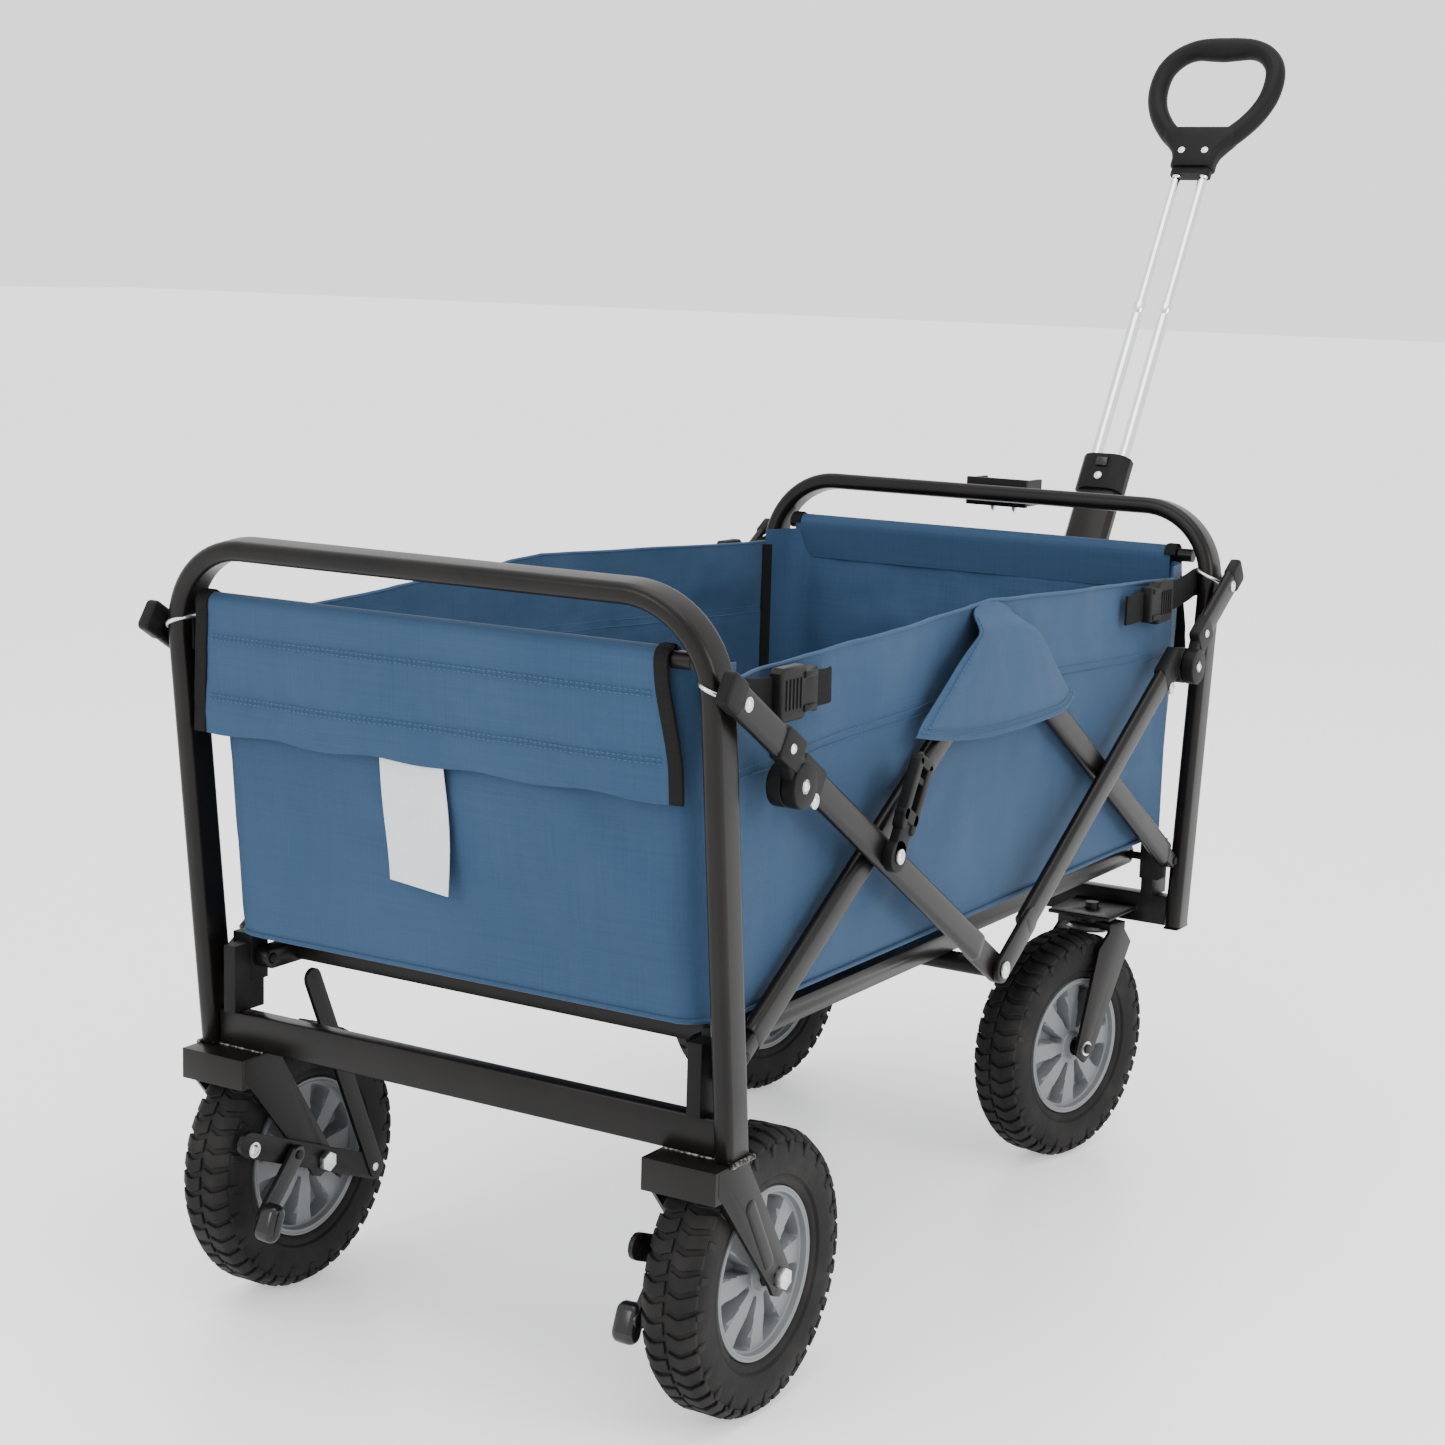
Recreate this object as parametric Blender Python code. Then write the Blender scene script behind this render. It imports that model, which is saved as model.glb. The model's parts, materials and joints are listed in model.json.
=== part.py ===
"""Folding utility wagon with a telescoping pull handle, in metres, +Z up.

X is the wagon's width, its right side at -X. The handle end faces -Y and the rear end +Y.
The shared design frame has its origin on the floor midway between the end frames, and the
empty "wagon" shifts it so that the part's origin is under the middle of its whole box.
"""

import math

import bmesh
import bpy
from mathutils import Matrix, Vector

# ---------------------------------------------------------------- driving dimensions
CENTRE_Y = 0.2608            # design frame to the part's frame, along Y

WHEEL_R = 0.1015             # 8-inch wheels
RIM_R = 0.0618
TYRE_HALF = 0.0225
WHEEL_SIDES = 32
RIM_SIDES = 24
AXLE_R = 0.0045
REAR_WHEEL_X, REAR_AXLE_Y = 0.2045, 0.328
PEDAL_PIN = (0.366, 0.118)

GAP = 0.0004                 # air between neighbours that touch on the real wagon

POST_X = 0.2264              # centre of each post
TUBE_DEEP, TUBE_THICK = 0.026, 0.015   # the hoops' tube, along the wagon and across it
POST_Y, POST_Z = 0.384, 0.2  # the posts' foot, and the slope at which they splay
SPLAY = 0.106
TOP_Z = 0.5795
BEND_R = 0.065
ROD_Z, ROD_R = 0.538, 0.006
ROD_X = 0.2085               # half its length: it ends on the inside of the hoop's bends
BAG_END_X = 0.194
CROSSBAR_Z, CROSSBAR_HALF = 0.215, 0.0135
CROSSBAR_X = POST_X - TUBE_THICK / 2 - GAP

PIVOT_Y, PIVOT_Z = 0.371, 0.268      # where arms and floor hinge on an end frame
CROSS_Y = 0.200                      # where the arms of one pair cross
ARM_ANGLE = math.radians(32.5)
FOLD_LIMIT = math.radians(36)
ARM_R = 0.0115                       # half the arms' depth
FOOT_R, FOOT_LUG = 0.0068, 0.020     # the slimmer lug at a long arm's hinge
PIN_R, HOLE_R = 0.0035, 0.0043
PIN_SIDES = 12
LONG_IN, LONG_OUT = 0.2165, 0.2275   # x layer of the long arms
SHORT_IN, SHORT_OUT = 0.2280, 0.2385
LINK_IN, LINK_OUT = 0.2390, 0.2485
TONGUE = 0.036                       # length of the half-thickness end of an arm
TOP_BOLT_Y, TOP_BOLT_Z = 0.417, 0.5142
KNEE_Y, KNEE_Z = 0.343, 0.450
LATCH_LENGTH, LATCH_LEAN = 0.0717, math.radians(30)
LATCH_R, LATCH_OUT = 0.0125, 0.2475

RAIL_R = 0.008
REAR_RAIL = (0.1850, 0.1968)         # x layers of the two floor frames' rails
FRONT_RAIL = (0.1725, 0.1845)
BLOCK_IN, BLOCK_OUT = 0.1975, 0.2160
PANEL_X, PANEL_THICK = 0.171, 0.012

WALL_X, WALL_THICK = 0.2085, 0.004
WALL_LOW, WALL_HIGH = 0.287, 0.526

CASTER_X, CASTER_Y, TRAIL = 0.160, -0.347, 0.040
CASTER_YAW = math.radians(12)
CROWN_LOW, CROWN_HIGH = 0.2055, 0.2105
FRONT_BAR_Z = 0.2185

HANDLE_Y, HANDLE_Z = -0.478, 0.225
HANDLE_LEAN = math.radians(30.9)
CAP_LOW, CAP_TOP = 0.395, 0.4336     # distances along the handle, from its pivot
LOWER_LOW, LOWER_TOP = 0.290, 0.6166
UPPER_LOW, UPPER_TOP = 0.455, 0.781
GRIP_TOP, GRIP_WIDE = 0.946, 0.150
ROD_SPREAD = 0.030                   # between the twin rods' centres
LOWER_R, LOWER_BORE, UPPER_R = 0.0060, 0.0053, 0.0048


# ---------------------------------------------------------------- materials
def finish(name, colour, roughness, metallic=0.0):
    material = bpy.data.materials.new(name)
    material.use_nodes = True
    shader = material.node_tree.nodes["Principled BSDF"]
    shader.inputs["Base Color"].default_value = (*colour, 1)
    shader.inputs["Roughness"].default_value = roughness
    shader.inputs["Metallic"].default_value = metallic
    return material


def make_finishes():
    return {
        "frame": finish("dark_powder_coat", (0.022, 0.020, 0.019), 0.42, 0.2),
        "black": finish("black_plastic", (0.018, 0.018, 0.019), 0.50),
        "rubber": finish("tyre_rubber", (0.020, 0.020, 0.021), 0.78),
        "grey": finish("grey_rim_plastic", (0.21, 0.24, 0.26), 0.48),
        "steel": finish("zinc_steel", (0.60, 0.60, 0.58), 0.28, 1.0),
        "chrome": finish("chrome_tube", (0.72, 0.73, 0.74), 0.12, 1.0),
        "blue": finish("blue_polyester", (0.067, 0.162, 0.305), 0.85),
    }


# ---------------------------------------------------------------- bodies and pieces
def moving_body(name, pivot, parent, turn=(0, 0, 0)):
    """An empty on a joint's axis. Pivots are given in the straight design frame."""
    empty = bpy.data.objects.new(name, None)
    bpy.context.scene.collection.objects.link(empty)
    empty.parent = parent
    empty["pivot"] = pivot
    origin = Vector(parent["pivot"]) if parent else Vector((0, -CENTRE_Y, 0))
    empty.location = Vector(pivot) - origin
    empty.rotation_euler = turn
    return empty


def new_object(name, mesh_tool, body, material):
    """Turns a bmesh in the design frame into an object that hangs on its body's empty."""
    bmesh.ops.remove_doubles(mesh_tool, verts=mesh_tool.verts, dist=1e-6)
    bmesh.ops.recalc_face_normals(mesh_tool, faces=mesh_tool.faces)
    bmesh.ops.translate(mesh_tool, vec=-Vector(body["pivot"]), verts=mesh_tool.verts)
    mesh = bpy.data.meshes.new(name)
    mesh_tool.to_mesh(mesh)
    mesh_tool.free()
    mesh.shade_smooth()
    mesh.set_sharp_from_angle(angle=math.radians(32))
    mesh.materials.append(material)
    made = bpy.data.objects.new(name, mesh)
    bpy.context.scene.collection.objects.link(made)
    made.parent = body
    return made


def piece(name, shapes, body, material, cuts=()):
    """One closed solid: the first shape, united with the others, less the cuts."""
    made = new_object(name, shapes[0], body, material)
    for kind, tools in (("UNION", shapes[1:]), ("DIFFERENCE", cuts)):
        for number, tool in enumerate(tools):
            helper = new_object(f"{name}_{kind.lower()}_{number}", tool, body, material)
            helper.hide_render = True
            helper.display_type = "WIRE"
            boolean = made.modifiers.new(f"{kind.lower()}_{number}", "BOOLEAN")
            boolean.operation = kind
            boolean.solver = "EXACT"
            boolean.object = helper
    return made


# ---------------------------------------------------------------- shapes
def box(low, high):
    tool = bmesh.new()
    bmesh.ops.create_cube(tool, size=1)
    middle = (Vector(low) + Vector(high)) / 2
    size = [abs(b - a) for a, b in zip(low, high)]
    bmesh.ops.transform(
        tool, matrix=Matrix.Translation(middle) @ Matrix.Diagonal((*size, 1)), verts=tool.verts)
    return tool


def cylinder(start, end, radius, sides=PIN_SIDES):
    tool = bmesh.new()
    start, end = Vector(start), Vector(end)
    way = end - start
    bmesh.ops.create_cone(
        tool, cap_ends=True, segments=sides, radius1=radius, radius2=radius, depth=way.length)
    turn = way.to_track_quat("Z", "Y").to_matrix().to_4x4()
    bmesh.ops.transform(
        tool, matrix=Matrix.Translation((start + end) / 2) @ turn, verts=tool.verts)
    return tool


def circle(centre, radius, sides, start=0.0):
    return [
        (centre[0] + radius * math.cos(start + math.tau * i / sides),
         centre[1] + radius * math.sin(start + math.tau * i / sides))
        for i in range(sides)
    ]


def stadium(a, b, radius, steps=6):
    """A bar from a to b in the (y, z) plane, with round ends."""
    heading = math.atan2(b[1] - a[1], b[0] - a[0])
    points = []
    for centre, start in ((b, heading - math.pi / 2), (a, heading + math.pi / 2)):
        for i in range(steps + 1):
            angle = start + math.pi * i / steps
            points.append((centre[0] + radius * math.cos(angle),
                           centre[1] + radius * math.sin(angle)))
    return points


def plate(outline, x0, x1, holes=()):
    """A flat plate across X: an outline in (y, z) with round holes through it."""
    tool = bmesh.new()
    edges = []
    for loop in (outline, *(circle(c, r, PIN_SIDES) for c, r in holes)):
        corners = [tool.verts.new((x0, y, z)) for y, z in loop]
        edges += [tool.edges.new((corners[i - 1], corners[i])) for i in range(len(corners))]
    bmesh.ops.triangle_fill(tool, use_beauty=True, edges=edges)
    grown = bmesh.ops.extrude_face_region(tool, geom=tool.faces[:])["geom"]
    moved = [v for v in grown if isinstance(v, bmesh.types.BMVert)]
    bmesh.ops.translate(tool, vec=(x1 - x0, 0, 0), verts=moved)
    return tool


def turned(profile, centre, sides):
    """A ring about the X axis through centre, from a closed (radius, x) profile."""
    tool = bmesh.new()
    rings = []
    for i in range(sides):
        angle = math.tau * i / sides - math.pi / 2
        rings.append([
            tool.verts.new((centre[0] + x, centre[1] + r * math.cos(angle),
                            centre[2] + r * math.sin(angle)))
            for r, x in profile
        ])
    for i in range(sides):
        here, there = rings[i - 1], rings[i]
        for k in range(len(profile)):
            tool.faces.new((here[k - 1], here[k], there[k], there[k - 1]))
    return tool


def swept(path, section, side_way, closed=False):
    """A bar along path. Each section point is (along side_way, across it)."""
    tool = bmesh.new()
    count = len(path)
    rings = []
    for i, point in enumerate(path):
        before = path[i - 1] if closed or i else path[0]
        after = path[(i + 1) % count] if closed or i < count - 1 else path[-1]
        along = (Vector(after) - Vector(before)).normalized()
        across = along.cross(side_way).normalized()
        rings.append([tool.verts.new(Vector(point) + u * side_way + v * across)
                      for u, v in section])
    for i in range(0 if closed else 1, count):
        for k in range(len(section)):
            tool.faces.new((rings[i - 1][k - 1], rings[i - 1][k], rings[i][k], rings[i][k - 1]))
    if not closed:
        tool.faces.new(rings[0])
        tool.faces.new(rings[-1])
    return tool


def flat_oval(thick, wide, steps=3):
    """A section of two half circles joined by flats: thick one way, wide the other."""
    radius = thick / 2
    reach = wide / 2 - radius
    points = []
    for centre, start in ((reach, 0), (-reach, math.pi)):
        for i in range(steps + 1):
            angle = start + math.pi * i / steps
            points.append((radius * math.cos(angle), centre + radius * math.sin(angle)))
    return points


def post_y(z):
    """How far out a post's centre line stands at height z."""
    return POST_Y + SPLAY * (z - POST_Z)


# ---------------------------------------------------------------- end frames
def hoop_path(end, foot_z):
    """The inverted U of an end frame, foot to foot."""
    slope = math.sqrt(1 + SPLAY ** 2)
    bend_z = TOP_Z - BEND_R / slope
    steps = 6
    right = [(-POST_X, end * post_y(foot_z), foot_z)]
    for i in range(steps + 1):
        angle = math.pi / 2 * i / steps
        z = bend_z + BEND_R * math.sin(angle) / slope
        right.append((-POST_X + BEND_R * (1 - math.cos(angle)), end * post_y(z), z))
    return right + [(-x, y, z) for x, y, z in reversed(right)]


def end_frame(name, end, body, foot_z, bar_z, looks):
    """Hoop, fabric rod and crossbar of one end; end is +1 at the rear and -1 at the front."""
    out = Vector((0, end, -SPLAY)).normalized()
    section = [(-out_way, across) for across, out_way in flat_oval(TUBE_THICK, TUBE_DEEP)]
    hoop = swept(hoop_path(end, foot_z), section, out)
    bolts = [cylinder((side * POST_X, end * TOP_BOLT_Y, TOP_BOLT_Z),
                      (side * (LINK_OUT + 0.001), end * TOP_BOLT_Y, TOP_BOLT_Z), PIN_R)
             for side in (-1, 1)]
    piece(f"{name}_hoop", [hoop, *bolts], body, looks["frame"])
    rod = cylinder((-ROD_X, end * post_y(ROD_Z), ROD_Z),
                   (ROD_X, end * post_y(ROD_Z), ROD_Z), ROD_R)
    piece(f"{name}_fabric_rod", [rod], body, looks["frame"])
    middle = end * post_y(bar_z)
    bar = box((-CROSSBAR_X, middle - 0.007, bar_z - CROSSBAR_HALF),
              (CROSSBAR_X, middle + 0.007, bar_z + CROSSBAR_HALF))
    return bar


def hinge_block(name, end, side, low_z, body, looks, rail_in):
    """The clamp block beside a post. Its pin carries a long arm and a floor rail."""
    near, far = PIVOT_Y - 0.009, PIVOT_Y + 0.009
    lug = box((side * BLOCK_IN, end * near, PIVOT_Z - 0.018),
              (side * BLOCK_OUT, end * far, PIVOT_Z + 0.018))
    foot = box((side * (BLOCK_IN + 0.0005), end * (near + 0.004), low_z),
               (side * (BLOCK_OUT - 0.0070), end * (PIVOT_Y + 0.027), PIVOT_Z + 0.012))
    pin = cylinder((side * (rail_in - 0.001), end * PIVOT_Y, PIVOT_Z),
                   (side * (LONG_OUT + 0.001), end * PIVOT_Y, PIVOT_Z), PIN_R)
    piece(name, [lug, foot, pin], body, looks["black"])


# ---------------------------------------------------------------- folding sides
def arm_points():
    rise = math.tan(ARM_ANGLE)
    cross = (CROSS_Y, PIVOT_Z + (PIVOT_Y - CROSS_Y) * rise)
    top = (0.0, PIVOT_Z + PIVOT_Y * rise)
    bottom = (0.0, cross[1] - CROSS_Y * rise)
    return cross, top, bottom


def towards(start, end, distance):
    """The point that lies distance from start on the way to end."""
    length = math.dist(start, end)
    return tuple(s + (e - s) * distance / length for s, e in zip(start, end))


def long_arm(name, end, side, body, looks, outer_tongue):
    """From an end frame's hinge to the top centre joint; carries the crossing's pin."""
    cross, top, _ = arm_points()
    foot, top = (end * PIVOT_Y, PIVOT_Z), (end * top[0], top[1])
    middle = (LONG_IN + LONG_OUT) / 2
    bar_end = towards(top, foot, TONGUE + ARM_R)
    bar = plate(stadium(towards(foot, top, FOOT_LUG), bar_end, ARM_R), side * LONG_IN,
                side * LONG_OUT)
    lug = plate(stadium(foot, towards(foot, top, FOOT_LUG + 0.004), FOOT_R),
                side * (LONG_IN + 0.0003), side * (LONG_OUT - 0.0003), [(foot, HOLE_R)])
    layer = (middle + 0.0002, LONG_OUT - 0.0002) if outer_tongue else (
        LONG_IN + 0.0002, middle - 0.0002)
    tongue = plate(stadium(towards(top, foot, TONGUE + 0.02), top, ARM_R - 0.0005),
                   side * layer[0], side * layer[1], [(top, HOLE_R)] if outer_tongue else ())
    pins = [cylinder((side * (LONG_OUT - 0.004), end * cross[0], cross[1]),
                     (side * (SHORT_OUT + 0.001), end * cross[0], cross[1]), PIN_R)]
    if not outer_tongue:
        pins.append(cylinder((side * (LONG_IN + 0.002), *top), (side * LONG_OUT, *top), PIN_R))
    piece(name, [bar, lug, tongue, *pins], body, looks["frame"])


def short_arm(name, end, side, body, looks, outer_tongue):
    """From the bottom centre joint, over the crossing, to the knee below the top bolt."""
    cross, _, bottom = arm_points()
    cross, bottom = (end * cross[0], cross[1]), (end * bottom[0], bottom[1])
    middle = (SHORT_IN + SHORT_OUT) / 2
    knee = (end * KNEE_Y, KNEE_Z)
    high = towards(bottom, cross, math.dist(bottom, cross) * 1.62)
    bar = plate(stadium(towards(bottom, cross, TONGUE + ARM_R), high, ARM_R),
                side * SHORT_IN, side * SHORT_OUT, [(cross, HOLE_R)])
    layer = (middle + 0.0002, SHORT_OUT - 0.0002) if outer_tongue else (
        SHORT_IN + 0.0002, middle - 0.0002)
    tongue = plate(stadium(towards(bottom, cross, TONGUE + 0.02), bottom, ARM_R - 0.0005),
                   side * layer[0], side * layer[1], [(bottom, HOLE_R)])
    lug = plate(stadium(high, knee, 0.0105), side * (SHORT_IN + 0.0003),
                side * (SHORT_OUT - 0.0003))
    piece(name, [bar, tongue, lug], body, looks["frame"])


def knee_link(name, end, side, body, looks):
    """The short link that hangs from the top bolt of an end frame."""
    rise = math.tan(ARM_ANGLE)
    bolt = (end * TOP_BOLT_Y, TOP_BOLT_Z)
    inner = (end * (TOP_BOLT_Y - 0.060), TOP_BOLT_Z - 0.060 * rise)
    outer = (end * (TOP_BOLT_Y + 0.019), TOP_BOLT_Z + 0.019 * rise)
    bar = plate(stadium(inner, outer, ARM_R), side * LINK_IN, side * LINK_OUT,
                [(bolt, HOLE_R)])
    lug = plate(stadium(inner, (end * KNEE_Y, KNEE_Z), 0.0105),
                side * (LINK_IN + 0.0003), side * (LINK_OUT - 0.0003))
    piece(name, [bar, lug], body, looks["frame"])


def fold_latch(body, looks):
    """The lever at the right rear crossing that locks the sides open."""
    cross, _, _ = arm_points()
    tip = (cross[0] - LATCH_LENGTH * math.sin(LATCH_LEAN),
           cross[1] + LATCH_LENGTH * math.cos(LATCH_LEAN))
    lever = plate(stadium(cross, tip, LATCH_R), -(SHORT_OUT + GAP), -LATCH_OUT,
                  [(cross, HOLE_R)])
    piece("fold_latch_lever", [lever], body, looks["black"])


# ---------------------------------------------------------------- floor
def floor_half(name, end, rails, body, looks):
    """One hinged half of the floor frame, and the board that lies on it."""
    bars = []
    for side in (-1, 1):
        bars.append(plate(stadium((end * PIVOT_Y, PIVOT_Z), (0, PIVOT_Z), RAIL_R),
                          side * rails[0], side * rails[1], [((end * PIVOT_Y, PIVOT_Z), HOLE_R)]))
    for y in (0.115, 0.335):
        bars.append(box((-rails[0] - 0.002, end * y - 0.007, PIVOT_Z - 0.0065),
                        (rails[0] + 0.002, end * y + 0.007, PIVOT_Z + 0.0065)))
    piece(f"{name}_floor_frame", [bars[2], bars[0], bars[1], bars[3]], body, looks["frame"])
    low = PIVOT_Z + RAIL_R + GAP
    board = box((-PANEL_X, end * 0.046, low), (PANEL_X, end * 0.335, low + PANEL_THICK))
    piece(f"{name}_floor_board", [board], body, looks["blue"])


def centre_tube(body, looks):
    """The tube below the floor that ties both sides' bottom centre joints."""
    _, _, bottom = arm_points()
    tube = cylinder((-(LONG_OUT - 0.001), *bottom), (LONG_OUT - 0.001, *bottom), 0.008)
    pin = cylinder((-(SHORT_OUT + 0.001), *bottom), (SHORT_OUT + 0.001, *bottom), PIN_R)
    piece("centre_cross_tube", [tube, pin], body, looks["frame"])


# ---------------------------------------------------------------- bag
def bag_end(name, end, body, looks):
    """An end wall and its flap, which is folded over the fabric rod."""
    back, front = -TUBE_THICK / 2 - 0.0012, TUBE_THICK / 2 + 0.0005
    low, high, flap_low = WALL_LOW, ROD_Z + 0.014, 0.4435
    section = [
        (back - WALL_THICK, low), (back, low), (back, high - WALL_THICK),
        (front, high - WALL_THICK), (front, flap_low), (front + WALL_THICK, flap_low),
        (front + WALL_THICK, high), (back - WALL_THICK, high),
    ]
    outline = [(end * (post_y(z) + offset), z) for offset, z in section]
    piece(name, [plate(outline, -BAG_END_X, BAG_END_X)], body, looks["blue"])


def bag_side(name, end, side, body, looks):
    """Half of a side wall. It crumples towards its end frame as the wagon folds."""
    outline = [(end * 0.0008, WALL_LOW), (end * 0.374, WALL_LOW), (end * 0.374, WALL_HIGH),
               (end * 0.050, WALL_HIGH), (end * 0.0008, WALL_HIGH + 0.012)]
    piece(name, [plate(outline, side * WALL_X, side * (WALL_X + WALL_THICK))], body,
          looks["blue"])


# ---------------------------------------------------------------- wheels
def wheel(name, centre, body, looks):
    rim = [(AXLE_R + 0.0008, -0.020), (0.016, -0.020), (0.018, -0.008), (0.050, -0.006),
           (0.055, -0.0195), (RIM_R, -0.0195)]
    rim += [(r, -x) for r, x in reversed(rim)]
    tyre = [(RIM_R + GAP, -0.0195), (0.076, -TYRE_HALF), (0.092, -TYRE_HALF),
            (WHEEL_R, -0.012)]
    tyre += [(r, -x) for r, x in reversed(tyre)]
    piece(f"{name}_rim", [turned(rim, centre, RIM_SIDES)], body, looks["grey"])
    piece(f"{name}_tyre", [turned(tyre, centre, WHEEL_SIDES)], body, looks["rubber"])


def rear_fork(side_name, side, body, looks):
    """Sheet bracket under a rear post, with a leg on each side of the wheel, and its bolt."""
    outer, inner = REAR_WHEEL_X + 0.0265, REAR_WHEEL_X - 0.0265
    leg = [(0.376, 0.2000), (0.412, 0.2000), (0.412, 0.184), (0.341, 0.0985), (0.336, 0.0905),
           (0.328, 0.0875), (0.320, 0.0905), (0.3155, 0.0985), (0.3165, 0.108)]
    legs = [plate(leg, side * x, side * (x + 0.003), [((REAR_AXLE_Y, WHEEL_R), AXLE_R + 0.0006)])
            for x in (outer, inner - 0.003)]
    shoulder = [(0.3730, 0.2008), (0.4160, 0.2008), (0.4160, 0.1780), (0.4020, 0.1780),
                (0.3730, 0.1965)]
    top = plate(shoulder, side * (inner - 0.0027), side * (outer + 0.0027))
    piece(f"rear_fork_{side_name}", [top, *legs], body, looks["frame"])
    at = (REAR_AXLE_Y, WHEEL_R)
    bolt = cylinder((side * (inner - 0.0115), *at), (side * (outer + 0.007), *at), AXLE_R)
    heads = [cylinder((side * (outer + 0.0034), *at), (side * (outer + 0.0085), *at), 0.008, 6),
             cylinder((side * (inner - 0.0130), *at), (side * (inner - 0.0080), *at), 0.008, 6)]
    piece(f"rear_axle_{side_name}", [bolt, *heads], body, looks["steel"])


def brake(side_name, side, body, pedal_body, looks):
    """The plate on a rear wheel's bolt, its strut, and the foot pedal that locks the wheel."""
    hub, tab, nose, head = (REAR_AXLE_Y, WHEEL_R), (0.4135, 0.137), (0.2670, 0.0785), (0.343, 0.249)
    flat = plate(stadium(nose, tab, 0.0095), side * 0.1706, side * 0.1742,
                 [(hub, AXLE_R + 0.0006)])
    strut = plate(stadium(nose, head, 0.008), side * 0.1688, side * 0.1722)
    pin = cylinder((side * 0.1720, *PEDAL_PIN), (side * 0.1620, *PEDAL_PIN), PIN_R)
    piece(f"brake_plate_{side_name}", [flat, strut, pin], body, looks["frame"])
    toe = (0.4050, 0.0760)
    lever = plate(stadium(PEDAL_PIN, toe, 0.008), side * 0.1640, side * 0.1700,
                  [(PEDAL_PIN, HOLE_R)])
    pad = box((side * 0.1500, toe[0] - 0.007, toe[1] - 0.014),
              (side * 0.1695, toe[0] + 0.009, toe[1] + 0.006))
    piece(f"brake_pedal_{side_name}", [lever, pad], pedal_body, looks["black"])


def plate_with_stem_hole(x, face):
    """The flat plate behind the front crossbar that a caster's stem turns in."""
    tool = bmesh.new()
    outline = [(x - 0.030, face - 0.004), (x + 0.030, face - 0.004),
               (x + 0.030, CASTER_Y + 0.030), (x - 0.030, CASTER_Y + 0.030)]
    edges = []
    for loop in (outline, circle((x, CASTER_Y), 0.0070, PIN_SIDES)):
        corners = [tool.verts.new((u, v, 0.2162)) for u, v in loop]
        edges += [tool.edges.new((corners[i - 1], corners[i])) for i in range(len(corners))]
    bmesh.ops.triangle_fill(tool, use_beauty=True, edges=edges)
    grown = bmesh.ops.extrude_face_region(tool, geom=tool.faces[:])["geom"]
    moved = [v for v in grown if isinstance(v, bmesh.types.BMVert)]
    bmesh.ops.translate(tool, vec=(0, 0, 0.0035), verts=moved)
    return tool


def caster_fork(side_name, side, body, looks):
    """Swivel fork with its stem and hub bolt, modelled straight; its body turns it."""
    x, y = side * CASTER_X, CASTER_Y
    axle_y = y + TRAIL
    reach = TYRE_HALF + 0.0035
    crown = box((x - reach - 0.0025, y - 0.012, CROWN_LOW),
                (x + reach + 0.0025, y + 0.012, CROWN_HIGH))
    outline = [(y - 0.0115, CROWN_HIGH - 0.0003), (y - 0.0115, 0.203), (y - 0.022, 0.190),
               (axle_y - 0.013, 0.098), (axle_y, 0.088), (axle_y + 0.013, 0.098),
               (y + 0.026, 0.190), (y + 0.0115, 0.203), (y + 0.0115, CROWN_HIGH - 0.0003)]
    legs = [plate(outline, x + way * reach, x + way * (reach + 0.003)) for way in (-1, 1)]
    bearing = cylinder((x, y, CROWN_HIGH - 0.001), (x, y, 0.2155), 0.017, 16)
    stem = cylinder((x, y, 0.2150), (x, y, 0.2250), 0.006)
    bolt = cylinder((x - reach - 0.007, axle_y, WHEEL_R), (x + reach + 0.007, axle_y, WHEEL_R),
                    AXLE_R)
    piece(f"caster_fork_{side_name}", [crown, *legs, bearing, stem, bolt], body, looks["frame"])


# ---------------------------------------------------------------- handle
def handle_section(thick, wide, low, high):
    """A flat-oval bar that stands on the handle's line, wide across the wagon."""
    path = [(0, HANDLE_Y, HANDLE_Z + s) for s in (low, high)]
    return swept(path, flat_oval(thick, wide, 5), Vector((0, 1, 0)))


def twin(low, high, radius, sides=PIN_SIDES):
    return [cylinder((side * ROD_SPREAD / 2, HANDLE_Y, HANDLE_Z + low),
                     (side * ROD_SPREAD / 2, HANDLE_Y, HANDLE_Z + high), radius, sides)
            for side in (-1, 1)]


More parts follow.
